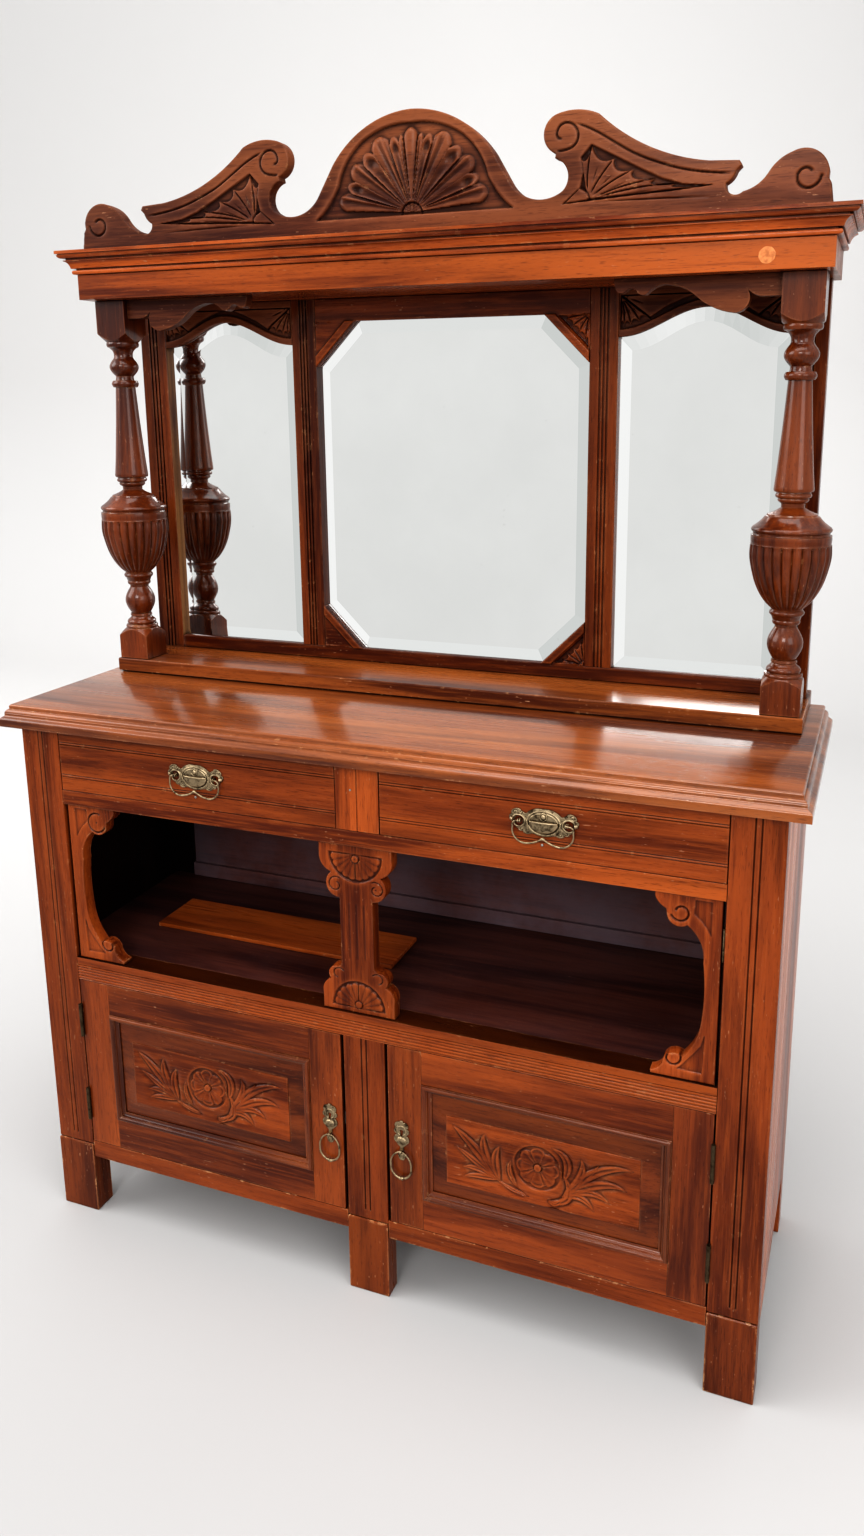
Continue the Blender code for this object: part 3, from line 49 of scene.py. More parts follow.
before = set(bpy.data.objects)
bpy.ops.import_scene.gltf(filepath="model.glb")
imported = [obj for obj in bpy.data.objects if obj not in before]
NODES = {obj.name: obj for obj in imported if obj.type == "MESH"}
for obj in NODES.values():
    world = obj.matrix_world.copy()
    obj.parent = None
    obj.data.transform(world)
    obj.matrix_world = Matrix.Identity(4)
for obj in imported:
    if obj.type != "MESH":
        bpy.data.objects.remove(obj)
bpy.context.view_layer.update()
SIDES = ((-1, "left"), (1, "right"))
FINE = 1.0
MM = (0.001, 0.001)


# Sizes and colours that a user would change


def colour(title, note, value):
    return FloatVectorProperty(name=title, description=note, subtype="COLOR", default=value)


def number(title, note, value, **limits):
    return FloatProperty(name=title, description=note, default=value, **limits)


class WoodLook(PropertyGroup):
    red: colour("Red-brown", "Posts, doors and columns", (0.144, 0.030, 0.007))
    golden: colour("Golden-brown", "The worktop and the column shelf", (0.150, 0.040, 0.011))
    bright: colour("Orange-brown", "Paler boards: rails, cornice, frieze", (0.196, 0.043, 0.010))
    brown: colour("Dull brown", "Crest, arched heads and brackets", (0.112, 0.032, 0.015))
    dark: colour("Dark stain", "Inside of the case", (0.060, 0.016, 0.011))
    pine: colour("Pine", "Drawer boxes and the backboard", (0.42, 0.27, 0.14))
    shine: number("Polish", "Weight of the clear polish", 0.20, min=0.0, max=1.0)


class CarvingSizes(PropertyGroup):
    grid: number("Grid", "Spacing of a carved face's points", 0.0011, unit="LENGTH", min=0.0004)
    line_width: number("Line width", "Width of an incised line", 0.0042, unit="LENGTH")
    line_depth: number("Line depth", "Depth of an incised line", 0.0028, unit="LENGTH")
    ground_depth: number("Ground depth", "How far the shell is sunk", 0.0042, unit="LENGTH")
    column_sides: IntProperty(
        name="Column sides", description="Facets round a turned column", min=48, default=144
    )


class BrassLook(PropertyGroup):
    polished: colour("Rubbed brass", "Brass where hands have rubbed it", (0.46, 0.36, 0.23))
    tarnish: colour("Tarnish", "Brass in its hollows", (0.034, 0.021, 0.011))


class StudioSizes(PropertyGroup):
    eye: FloatVectorProperty(
        name="Camera",
        description="Where the camera stands",
        subtype="TRANSLATION",
        unit="LENGTH",
        default=(0.6991, -1.5945, 1.4114),
    )
    yaw: number("Yaw", "Turn to the left", math.radians(20.729), subtype="ANGLE")
    pitch: number("Pitch", "Tilt, downwards if negative", math.radians(-12.70), subtype="ANGLE")
    roll: number("Roll", "Roll of the camera", math.radians(-0.288), subtype="ANGLE")
    lens: number("Lens", "Focal length in millimetres on a 36 mm long side", 26.166)
    shift: FloatVectorProperty(
        name="Shift", description="Shift of the lens", size=2, default=(-0.0230, -0.0751)
    )
    daylight: number("Daylight", "Strength of the pale surroundings", 0.90, min=0.0)


SETTINGS = {
    "sideboard_wood": WoodLook,
    "sideboard_carving": CarvingSizes,
    "sideboard_brass": BrassLook,
    "sideboard_studio": StudioSizes,
}


def settings(kind):
    return getattr(bpy.context.scene, f"sideboard_{kind}")


# Shader maths


class Wire:
    """A socket in a material, for shader maths written as plain expressions."""

    def __init__(self, tree, socket):
        self.tree = tree
        self.socket = socket

    def node(self, kind, choices, inputs, output=0):
        """Adds a node: its settings first, then the values or links of its sockets."""
        made = self.tree.nodes.new(kind)
        for name, value in choices.items():
            setattr(made, name, value)
        for name, value in inputs.items():
            self.feed(made.inputs[name], value)
        return Wire(self.tree, made.outputs[output])

    def feed(self, socket, value):
        if isinstance(value, Wire):
            self.tree.links.new(value.socket, socket)
        elif isinstance(value, tuple) and len(value) == 3 and len(socket.default_value) == 4:
            socket.default_value = (*value, 1.0)
        else:
            socket.default_value = value

    def math(self, operation, *values):
        return self.node("ShaderNodeMath", {"operation": operation}, dict(enumerate(values)))

    def vector(self, operation, *values, output=0):
        inputs = dict(enumerate((self, *values)))
        return self.node("ShaderNodeVectorMath", {"operation": operation}, inputs, output)

    def __add__(self, other):
        return self.math("ADD", self, other)

    def __sub__(self, other):
        return self.math("SUBTRACT", self, other)

    def __rsub__(self, other):
        return self.math("SUBTRACT", other, self)

    def __mul__(self, other):
        return self.math("MULTIPLY", self, other)

    __radd__ = __add__
    __rmul__ = __mul__

    def ramp(self, low, high):
        """Maps low..high to 0..1 with a soft step."""
        inputs = {"Value": self, 1: low, 2: high, 3: 0.0, 4: 1.0}
        return self.node("ShaderNodeMapRange", {"interpolation_type": "SMOOTHSTEP"}, inputs)

    def shifted(self, offset):
        return self.vector("ADD", offset)

    def stretched(self, scale):
        return self.vector("MULTIPLY", scale)

    def noise(self, scale, detail=3.0, roughness=0.55, distortion=0.0):
        values = (self, scale, detail, roughness, distortion)
        names = ("Vector", "Scale", "Detail", "Roughness", "Distortion")
        return self.node("ShaderNodeTexNoise", {}, dict(zip(names, values)))

    def blend(self, first, second):
        """Mixes two colours, with this value as the factor."""
        return self.node("ShaderNodeMix", {"data_type": "RGBA"}, {0: self, 6: first, 7: second}, 2)

    def part(self, axis):
        """One of the three parts of a vector."""
        return self.node("ShaderNodeSeparateXYZ", {}, {"Vector": self}, "XYZ".index(axis))


def new_material(name):
    """A material with one Principled shader, and the wire of its object coordinates."""
    made = bpy.data.materials.new(name)
    made.use_nodes = True
    tree = made.node_tree
    tree.nodes.clear()
    output = tree.nodes.new("ShaderNodeOutputMaterial")
    shader = tree.nodes.new("ShaderNodeBsdfPrincipled")
    tree.links.new(shader.outputs["BSDF"], output.inputs["Surface"])
    coordinates = tree.nodes.new("ShaderNodeTexCoord")
    return made, shader, Wire(tree, coordinates.outputs["Object"])


def connect(start, shader, base, rough, bump=None):
    """Joins colour, roughness and maybe a bump of (strength, distance, height) to the shader."""
    start.feed(shader.inputs["Base Color"], base)
    start.feed(shader.inputs["Roughness"], rough)
    if bump:
        inputs = dict(zip(("Strength", "Distance", "Height"), bump))
        start.feed(shader.inputs["Normal"], start.node("ShaderNodeBump", {}, inputs))


def attribute(wire, name):
    return wire.node("ShaderNodeAttribute", {"attribute_name": name}, {}, 2)


def worn_edges(wire, radius):
    """Strong on arrises, found by comparing the surface with a rounded copy of itself."""
    rounded = wire.node("ShaderNodeBevel", {"samples": 4}, {"Radius": radius})
    flat = wire.node("ShaderNodeNewGeometry", {}, {}, 1)
    return (1.0 - rounded.vector("DOT_PRODUCT", flat, output=1)).ramp(0.008, 0.10)


def corner_shade_and_grime(wire, reach):
    """Strong in corners and quirks, found by ambient occlusion: a mask for painted shade, and for
    old polish and dust gathered there.
    """
    choices = {"samples": 6, "only_local": False}
    open_sky = wire.node("ShaderNodeAmbientOcclusion", choices, {"Distance": reach}, 1)
    return (1.0 - open_sky).ramp(0.22, 0.85)


def scaled(shade, *gains):
    """A colour with each part times its gain, or all times one gain."""
    gains = gains * 3 if len(gains) == 1 else gains
    return tuple(part * gain for part, gain in zip(shade, gains))


def place_of(name):
    """A steady offset for a piece's grain, so that no two boards share a figure."""
    total = sum((i + 3) * ord(letter) for i, letter in enumerate(name))
    return (total % 97 * 0.37, total % 71 * 0.53, total % 53 * 0.71)


def grain_scales(grain):
    """Scales of figure, fibres and pores, which all run along one axis."""
    pairs = ((1.3, 14.0), (9.0, 210.0), (60.0, 950.0))
    return [tuple(along if axis == grain else across for axis in "XYZ") for along, across in pairs]


def polished_wood(name, shade, grain="X", gloss=1.0, wear=1.0, carved=False, dust=0.0, inside=None):
    """Mahogany with figure, fibres, pores, mottled old polish and rubbed arrises, with painted
    shade and dirt in its corners.
    """
    made, shader, start = new_material(f"{name}_wood")
    place = start.shifted(place_of(name))
    figure_scale, fibre_scale, pore_scale = grain_scales(grain)
    figure = place.stretched(figure_scale).noise(1.0, 5.0, 0.60, 0.7)
    fibre = place.stretched(fibre_scale).noise(1.0, 3.0, 0.6)
    pores = place.stretched(pore_scale).noise(1.0, 1.0, 0.5).ramp(0.60, 0.72)
    mottle = place.stretched(figure_scale).noise(0.85, 4.0, 0.6, 0.6)
    glow = place.shifted((7.7, 2.9, 4.1)).stretched(figure_scale).noise(0.42, 3.0, 0.55, 0.8)
    rubbed = place.shifted((3.1, 1.7, 5.3)).noise(15.0, 4.0, 0.65)
    scratch_scale = tuple(90.0 if scale < 5 else 420.0 for scale in figure_scale)
    scratches = place.stretched(scratch_scale).noise(1.0, 2.0, 0.5).ramp(0.690, 0.725)
    # Mask of painted shade in corners, also standing for old polish and dust there
    corners = corner_shade_and_grime(start, 0.012)
    edge = worn_edges(start, 0.0048)
    rub = edge.ramp(0.25, 1.0) * rubbed.ramp(0.42, 0.58) * (1.0 - corners)
    whole = 0.635 - 0.028 * max(wear - 1.0, 0.0)
    chips = edge.ramp(0.05, 0.30) * place.noise(60.0, 3.0, 0.6).ramp(whole, whole + 0.03)

    def tinted(*gains):
        return tuple(min(part, 0.9) for part in scaled(shade, *gains))

    def worn(share):
        return min(share * wear, 0.95)

    base = figure.ramp(0.36, 0.64).blend(tinted(0.42, 0.33, 0.34), tinted(1.50, 1.62, 1.45))
    layers = [
        (glow.ramp(0.46, 0.70) * 0.75, tinted(2.15, 2.55, 2.00)),
        (mottle.ramp(0.47, 0.68) * 0.60, tinted(0.36, 0.27, 0.28)),
        (fibre.ramp(0.45, 0.72) * 0.40, tinted(1.8, 2.1, 1.7)),
        (fibre.ramp(0.46, 0.28) * 0.45, tinted(0.40, 0.30, 0.30)),
        (pores * 0.50, tinted(0.26, 0.18, 0.18)),
        (scratches * rubbed.ramp(0.47, 0.60) * worn(0.60), (0.38, 0.20, 0.11)),
        # Painted shade in corners and quirks, darkened with old polish and dust
        (corners * 0.88, tinted(0.10, 0.06, 0.06)),
        (rub * worn(0.36), (0.36, 0.15, 0.065)),
        (chips * worn(0.42), (0.50, 0.27, 0.13)),
    ]
    base_rough = 0.22 + 0.28 * max(1.0 - gloss, 0.0)
    rough = base_rough + mottle.ramp(0.35, 0.75) * 0.14 + fibre * 0.06 + corners * 0.2
    if carved:
        # Painted shade with dirt in the hollows of a carving, and rubbed wear with a painted
        # highlight on its ridges
        hollow = attribute(start, "hollow")
        ridge = attribute(start, "crest")
        layers.append((ridge * rubbed.ramp(0.25, 0.60) * 0.55, tinted(2.1, 2.6, 2.6)))
        layers.append((hollow * 0.78, tinted(0.12, 0.08, 0.08)))
        rough = rough + hollow * 0.25
    if dust:
        # Settled dust, which also stands in for a painted sheen on the dark inner boards
        settled_dust_and_sheen = place.noise(5.0, 5.0, 0.65).ramp(0.15, 0.75)
        layers.append((settled_dust_and_sheen * dust, (0.155, 0.120, 0.140)))
    if inside:
        # Painted shade: the side boards go nearly black on their inner faces, inside the case
        dark = start.part("X").ramp(*inside) * 0.97 * start.part("Y").ramp(0.172, 0.162)
        layers.append((dark, (0.004, 0.001, 0.001)))
    for share, tint in layers:
        base = share.blend(base, tint)
    relief = fibre * 0.5 + figure * 0.25 - pores * 0.6 + rubbed * 0.35
    connect(start, shader, base, rough, (0.20, 0.0006, relief))
    shader.inputs["Coat Weight"].default_value = min(settings("wood").shine * gloss, 1.0)
    shader.inputs["Coat Roughness"].default_value = 0.14
    shader.inputs["Specular IOR Level"].default_value = 0.11
    return made


def plain_pine(name):
    """Unpolished softwood with broad soft rings and a few darker streaks."""
    made, shader, start = new_material(f"{name}_pine")
    place = start.shifted(place_of(name))
    figure_scale, fibre_scale, _ = grain_scales("X")
    rings = place.stretched(figure_scale).noise(2.4, 4.0, 0.5, 0.6)
    fibre = place.stretched(fibre_scale).noise(1.0, 3.0, 0.6)
    stain = place.noise(5.0, 4.0, 0.6)
    shade = tuple(settings("wood").pine)
    base = rings.ramp(0.40, 0.62).blend(scaled(shade, 0.62), shade)
    base = (fibre.ramp(0.4, 0.7) * 0.3).blend(base, scaled(shade, 0.5))
    base = (stain.ramp(0.5, 0.75) * 0.5).blend(base, scaled(shade, 0.35))
    connect(start, shader, base, 0.62 + fibre * 0.15, (0.3, 0.0006, fibre))
    return made


def cast_brass(name, rubbed=0.8, carved=False):
    """Old stamped brass: rubbed on its ridges, tarnished nearly black in its hollows."""
    look = settings("brass")
    made, shader, start = new_material(f"{name}_brass")
    grains = start.noise(900.0, 4.0, 0.6)
    rub = start.noise(120.0, 4.0, 0.6, 0.4).ramp(0.28, 0.58)
    if carved:
        rub = rub * 0.70 + attribute(start, "crest") * 0.6
    else:
        rub = rub * rubbed + worn_edges(start, 0.0008) * 0.3
    base = rub.blend(tuple(look.tarnish), tuple(look.polished))
    if carved:
        base = (attribute(start, "hollow") * 0.9).blend(base, scaled(look.tarnish, 0.4))
    rough = 0.30 + (1.0 - rub) * 0.22 + grains * 0.10
    connect(start, shader, base, rough, (0.25, 0.0003, grains))
    shader.inputs["Metallic"].default_value = 1.0
    return made


def dull_steel(name):
    made, shader, start = new_material(f"{name}_steel")
    streaks = start.stretched((900.0, 900.0, 60.0)).noise(1.0, 2.0)
    rust = start.noise(400.0, 4.0).ramp(0.58, 0.72)
    base = rust.blend((0.36, 0.35, 0.33), (0.10, 0.045, 0.02))
    connect(start, shader, base, 0.35 + streaks * 0.2 + rust * 0.3)
    start.feed(shader.inputs["Metallic"], 1.0 - rust * 0.8)
    return made


def silvered_glass(name):
    """Old plate, a little bowed, with a faint haze, foxing and a ground bevel whose facets carry a
    painted reflection.
    """
    made, shader, start = new_material(f"{name}_silver")
    normal = start.node("ShaderNodeNewGeometry", {}, {}, 3)
    haze = start.noise(2.4, 5.0, 0.6)
    spots = start.noise(55.0, 4.0, 0.7).ramp(0.70, 0.78)
    base = haze.ramp(0.3, 0.8).blend((0.79, 0.795, 0.785), (0.85, 0.855, 0.845))
    # Painted reflection: the bevel's facets are paler where they turn to the left and darker where
    # they turn to the right
    ground = start.math("ABSOLUTE", normal.part("Y")).ramp(0.9995, 0.9970)
    turned = normal.part("X").ramp(-0.05, 0.05).blend((0.96, 0.965, 0.96), (0.69, 0.71, 0.70))
    base = ground.blend(base, turned)
    base = (spots * 0.18).blend(base, (0.35, 0.33, 0.30))
    connect(start, shader, base, 0.015 + haze * 0.02 + spots * 0.08)
    bow = 0.300 - start.part("Z") * 0.232
    lean = start.node("ShaderNodeCombineXYZ", {}, {"Z": bow})
    through_bevel = normal.stretched((-0.5, 1.0, -0.5)).shifted(lean)
    start.feed(shader.inputs["Normal"], through_bevel.vector("NORMALIZE"))
    shader.inputs["Metallic"].default_value = 1.0
    return made


# Meshes


class Drawing:
    """A flat outline of straight lines and arcs through three points, in its own units."""

    def __init__(self, *start, unit=(1.0, 1.0)):
        self.unit = Vector(unit)
        self.points = [self.sized(start)]

    def sized(self, point):
        return Vector(point) * self.unit

    def trace(self, *steps):
        """Lines to each (x, y), and arcs for each (through x, y, end x, y, steps)."""
        for step in steps:
            if len(step) == 2:
                self.points.append(self.sized(step))
            else:
                self.arc(self.sized(step[:2]), self.sized(step[2:4]), step[4])
        return self

    def arc(self, b, c, steps):
        a = self.points[-1]
        twice = 2 * (b - a).cross(c - a)
        ab, ac = (b - a).length_squared, (c - a).length_squared
        aside = ((c - a).y * ab - (b - a).y * ac, (b - a).x * ac - (c - a).x * ab)
        centre = a + Vector(aside) / twice
        radius = (a - centre).length
        first = math.atan2(a.y - centre.y, a.x - centre.x)
        turn = math.atan2(c.y - centre.y, c.x - centre.x) - first
        if twice > 0 and turn < 0:
            turn += math.tau
        if twice < 0 and turn > 0:
            turn -= math.tau
        for i in range(1, steps + 1):
            angle = first + turn * i / steps
            self.points.append(centre + radius * Vector((math.cos(angle), math.sin(angle))))

    def placed(self, origin=(0.0, 0.0), side=1):
        return [(origin[0] + side * p.x, origin[1] + p.y) for p in self.points]

    def doubled(self, origin=(0.0, 0.0)):
        """The drawing with its mirror image about x = 0."""
        flipped = [(-p.x, p.y) for p in reversed(self.points) if abs(p.x) > 1e-9]
        whole = [tuple(p) for p in self.points] + flipped
        return [(origin[0] + x, origin[1] + z) for x, z in whole]


def rectangle(across, along, inset=0.0):
    """The four corners of a rectangle drawn in by inset."""
    (a, b), (c, d) = across, along
    a, b, c, d = a + inset, b - inset, c + inset, d - inset
    return [(a, c), (b, c), (b, d), (a, d)]


def circle(centre, radius, steps):
    angles = [math.tau * i / steps for i in range(steps)]
    return [(centre[0] + radius * math.cos(a), centre[1] + radius * math.sin(a)) for a in angles]


class Shape:
    """Collects the closed bodies of one piece, each with the place of its material."""

    def __init__(self):
        self.points = []
        self.faces = []
        self.looks = []

    def add(self, points, faces, looks):
        base = len(self.points)
        self.points.extend(points)
        self.faces.extend(tuple(base + i for i in face) for face in faces)
        self.looks.extend(looks)
        return self

    def box(self, x, y, z, look=0):
        points = [(a, b, c) for c in z for b in y for a in x]
        sides = ((0, 2, 3, 1), (4, 5, 7, 6), (0, 1, 5, 4), (2, 6, 7, 3), (0, 4, 6, 2), (1, 3, 7, 5))
        return self.add(points, sides, [look] * 6)

    def skin(self, loops, closed=False, looks=None):
        """A skin through loops of equal length. Looks may name the material of each side."""
        count = len(loops[0])
        rows = len(loops) if closed else len(loops) - 1
        faces, used = [], []
        for side in range(count):
            after = (side + 1) % count
            for row in range(rows):
                low, high = row * count, (row + 1) % len(loops) * count
                faces.append((low + side, low + after, high + after, high + side))
                used.append(looks[side] if looks else 0)
        if not closed:
            last = (len(loops) - 1) * count
            faces += [tuple(range(count)), tuple(range(last, last + count))]
            used += [0, 0]
        return self.add([point for loop in loops for point in loop], faces, used)

    def slab(self, outline, span):
        """A board with an outline seen from the front, between two depths."""
        return self.skin([[(x, depth, z) for x, z in outline] for depth in span])

    def build(self, name, looks, nodes=(), ease=0.0, sharp=38, body="root", slot="mahogany"):
        """Makes the object, puts it on its body and lets it stand for CAD nodes."""
        mesh = bpy.data.meshes.new(name)
        mesh.from_pydata(self.points, [], self.faces)
        mesh.polygons.foreach_set("material_index", self.looks)
        return dress(name, mesh, looks, body, nodes, ease, sharp)


def dress(name, mesh, looks, body, nodes, ease, sharp):
    bm = bmesh.new()
    bm.from_mesh(mesh)
    bmesh.ops.remove_doubles(bm, verts=bm.verts, dist=1e-6)
    bmesh.ops.recalc_face_normals(bm, faces=bm.faces)
    bm.to_mesh(mesh)
    bm.free()
    mesh.shade_smooth()
    mesh.set_sharp_from_angle(angle=math.radians(sharp))
    obj = bpy.data.objects.new(name, mesh)
    bpy.context.scene.collection.objects.link(obj)
    for look in looks:
        mesh.materials.append(look)
    if ease:
        soften(obj, ease)
    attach(obj, body)
    if nodes:
        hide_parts(*nodes)
    return obj


def soften(obj, width, weld=False):
    """Rounds the arrises a little, as a plane and years of hands do."""
    if weld:
        obj.modifiers.new("join", "WELD").merge_threshold = 0.00002
    ease = obj.modifiers.new("ease", "BEVEL")
    ease.width = width
    ease.segments = 2
    ease.limit_method = "ANGLE"
    ease.angle_limit = math.radians(40)
    ease.harden_normals = True
    ease.use_clamp_overlap = True


def from_stretches(x, z, points):
    """Each straight stretch of a path: its ends, the share along it, and distance squared."""
    for (ax, az), (bx, bz) in zip(points, points[1:]):
        dx, dz = bx - ax, bz - az
        t = np.clip(((x - ax) * dx + (z - az) * dz) / (dx * dx + dz * dz + 1e-18), 0, 1)
        yield (ax, az, bx, bz), t, (x - ax - t * dx) ** 2 + (z - az - t * dz) ** 2


def nearest(x, z, path):
    """Distance of each point to a path, and how far along the path it is, from 0 to 1."""
    points = np.asarray([tuple(p) for p in path], float)
    lengths = np.hypot(*np.diff(points, axis=0).T)
    share = np.concatenate([[0.0], np.cumsum(lengths)]) / max(lengths.sum(), 1e-9)
    best = np.full(x.shape, 1e9)
    along = np.zeros(x.shape)
    for i, (_, t, away) in enumerate(from_stretches(x, z, points)):
        along = np.where(away < best, share[i] + (share[i + 1] - share[i]) * t, along)
        best = np.minimum(best, away)
    return np.sqrt(best), along


def inside_by(x, z, loop):
    """Distance to a closed loop, positive inside it."""
    points = np.asarray([tuple(p) for p in [*loop, loop[0]]], float)
    best = np.full(x.shape, 1e9)
    within = np.zeros(x.shape, bool)
    for (ax, az, bx, bz), _, away in from_stretches(x, z, points):
        best = np.minimum(best, away)
        if bz != az:
            crossing = (az > z) != (bz > z)
            within ^= crossing & (x < ax + (z - az) * (bx - ax) / (bz - az))
    return np.where(within, 1.0, -1.0) * np.sqrt(best)


def blurred(values, reach):
    """Three running means each way, over 2 * reach + 1 points."""
    kernel = 2 * reach + 1
    for axis in (0, 1) * 3:
        pad = [(reach + 1, reach) if a == axis else (0, 0) for a in (0, 1)]
        sums = np.cumsum(np.pad(values, pad, mode="edge"), axis=axis)
        high = np.take(sums, range(kernel, sums.shape[axis]), axis=axis)
        low = np.take(sums, range(0, sums.shape[axis] - kernel), axis=axis)
        values = (high - low) / kernel
    return values


def spiral(centre, first, last, start, turn, steps=48):
    """A path that winds from one radius to another. Angles are in degrees."""
    points = []
    for i in range(steps + 1):
        part = i / steps
        angle = math.radians(start + turn * part)
        radius = first + (last - first) * part
        points.append((centre[0] + radius * math.cos(angle), centre[1] + radius * math.sin(angle)))
    return points


def half_circle(centre, radius, steps, up=1):
    x, z = centre
    angles = np.linspace(0, math.pi, steps)
    return [(x + radius * math.cos(a), z + up * radius * math.sin(a)) for a in angles]


def bent(start, middle, end, steps=12):
    """A smooth curve from start to end that leans towards middle."""
    a, b, c = Vector(start), Vector(middle), Vector(end)
    return [a.lerp(b, i / steps).lerp(b.lerp(c, i / steps), i / steps) for i in range(steps + 1)]


def unit_dome(away, power=0.5):
    """A dome of height 1 over the points whose share of its radius, squared, is under 1."""
    return np.clip(1 - away, 0, 1) ** power


class Carving:
    """A face on a fine grid that is cut and raised, with an outline and maybe holes."""

    def __init__(self, xs, zs, outline, holes=(), arris=0.0012):
        self.xs, self.zs = np.asarray(xs), np.asarray(zs)
        self.x, self.z = np.meshgrid(self.xs, self.zs)
        self.inside = inside_by(self.x, self.z, outline)
        for hole in holes:
            self.inside = np.minimum(self.inside, -inside_by(self.x, self.z, hole))
        self.rise = np.zeros(self.x.shape)
        self.arris = arris

    @classmethod
    def over(cls, x, z, step, outline, holes=(), arris=0.0012, margin=0.001, tall=1.0):
        """A carving with an even grid over two spans, its rows tall times as far apart."""
        xs = spaced((x[0] - margin, x[1] + margin, step))
        zs = spaced((z[0] - margin, z[1] + margin, step * tall))
        return cls(xs, zs, outline, holes, arris)

    def window(self, path, margin):
        points = np.asarray([tuple(p) for p in path], float)
        low, high = points.min(0) - margin, points.max(0) + margin
        rows = slice(*np.searchsorted(self.zs, (low[1], high[1])))
        columns = slice(*np.searchsorted(self.xs, (low[0], high[0])))
        return rows, columns

    def groove(self, path, width, depth, fade=0.0):
        """A cut with a rounded bottom along a path, running out at its ends."""
        part = self.window(path, width)
        away, along = nearest(self.x[part], self.z[part], path)
        share = np.clip(1 - (away / (width / 2)) ** 2, 0, 1)
        if fade:
            share = share * np.clip(np.minimum(along, 1 - along) / fade, 0, 1)
        self.rise[part] -= depth * share

    def within(self, loop, wall):
        """The window round a closed loop, and how far up its wall each point is."""
        part = self.window(loop, 0.0)
        return part, np.clip(inside_by(self.x[part], self.z[part], loop) / wall, 0, 1)

    def sink(self, loop, depth, wall=0.0010):
        part, share = self.within(loop, wall)
        self.rise[part] -= depth * share

    def raised(self, loop, height, wall=0.0014):
        part, share = self.within(loop, wall)
        self.rise[part] += height * share**0.6

    def outlined(self, loop, depth, width, cut, wall=0.0010):
        """A sunk field with a line cut along its edge."""
        self.sink(loop, depth, wall)
        self.groove([*loop, loop[0]], width, cut)

    def petals(self, apex, edges, tips, height, kinds, tip_round, within=None):
        """Petals between pairs of angles in degrees, each with its own reach and kind."""
        reach = max(tips)
        box = [(apex[0] - reach, apex[1] - reach), (apex[0] + reach, apex[1] + reach)]
        part = self.window(box, 0.001)
        dx, dz = self.x[part] - apex[0], self.z[part] - apex[1]
        radius = np.hypot(dx, dz)
        angle = np.degrees(np.arctan2(dz, dx))
        lift = np.zeros(radius.shape)
        for low, high, tip, kind in zip(edges, edges[1:], tips, kinds):
            turned = (angle - min(low, high)) % 360
            lean = (2 * turned / abs(high - low) - 1) * (1 if low + high < 180 else -1)
            across = np.abs(lean)
            end = tip * (1 - tip_round * np.clip(across, 0, 1) ** 2)
            along = np.clip(radius / end, 0, 1)
            if kind == "ridge":
                form = 0.5 + 0.5 * unit_dome(across**2)
            elif kind == "hollow":
                eye = np.exp(-(((along - 0.86) / 0.075) ** 2)) * np.clip(1 - across**2, 0, 1)
                form = 0.50 + 0.40 * np.clip(across, 0, 1) ** 2 - 0.55 * eye
            else:
                rib = np.exp(-(((lean - 0.42) / 0.30) ** 2))
                plane = 0.66 - 0.14 * lean - 0.10 * np.exp(-(((lean + 0.05) / 0.16) ** 2))
                form = np.maximum(rib, plane) * (1 - 0.34 * across**6)
            brow = np.sqrt(np.clip((1 - along) / 0.055, 0, 1))
            swell = 0.50 + 0.50 * np.sin(np.pi * np.clip(along, 0, 1) ** 1.4 * 0.72)
            shape = height * form * brow * swell * ((across < 1) & (along < 1))
            lift = np.maximum(lift, shape)
        if within is not None:
            lift = lift * (inside_by(self.x[part], self.z[part], within) > 0)
        self.rise[part] += lift

    def boss(self, centre, radius, height, dip=0.0, ring=0.0):
        part = self.window([centre], radius * 1.4)
        away = np.hypot(self.x[part] - centre[0], self.z[part] - centre[1]) / radius
        before = self.rise[part]
        domed = np.where(away < 1, np.maximum(before, height * unit_dome(away**2)), before)
        cut = np.clip(1 - ((away - 1.0) / 0.16) ** 2, 0, 1) * ring
        hole = np.clip(1 - (away / 0.36) ** 2, 0, 1) * dip
        self.rise[part] = domed - cut - hole

    def leaves(self, spines, ground, height, spread):
        """Raised leaves, each (path, width), with the ground sunk round them."""
        raised = np.zeros(self.x.shape)
        for path, width in spines:
            part = self.window(path, width)
            away, along = nearest(self.x[part], self.z[part], path)
            half = width / 2 * np.sin(np.pi * np.clip(along, 0.02, 0.985) ** 0.8) ** 0.75 + 1e-6
            across = np.clip(away / half, 0, 1)
            vein = np.exp(-((away / (0.13 * width)) ** 2)) * np.clip((0.92 - along) * 8, 0, 1)
            form = (1 - across**2) ** 0.4 * (1 - 0.60 * vein)
            lift = height * form * (0.75 + 0.25 * np.sin(np.pi * along))
            raised[part] = np.maximum(raised[part], lift * (across < 1))
        near = np.clip(blurred((raised > 0).astype(float), spread) * 2.4, 0, 1)
        self.rise += raised - ground * np.where(raised > 0, 1.0, near)

    def fan(self, hub, tips, height, rib=0.0024, scoop=0.34):
        """Leaves between ribs that end in points, with scooped edges and a short vein each."""
        hub = Vector(hub)
        tips = [Vector(tip) for tip in tips]
        pairs = list(zip(tips, tips[1:]))
        loop = [hub]
        for first, second in pairs:
            loop.extend(bent(first, first.lerp(second, 0.5).lerp(hub, scoop), second, 8))
        self.raised(loop, height)
        for tip in tips[1:-1]:
            bow = (tip - hub).orthogonal() * 0.06 * (1 if tip.x > hub.x else -1)
            line = bent(hub.lerp(tip, 0.14), hub.lerp(tip, 0.5) + bow, tip)
            self.groove(line, rib, height * 0.75, 0.12)
        for first, second in pairs:
            middle = first.lerp(second, 0.5)
            vein = [hub.lerp(middle, 0.34), hub.lerp(middle, 0.70)]
            self.groove(vein, rib * 0.8, height * 0.45, 0.5)

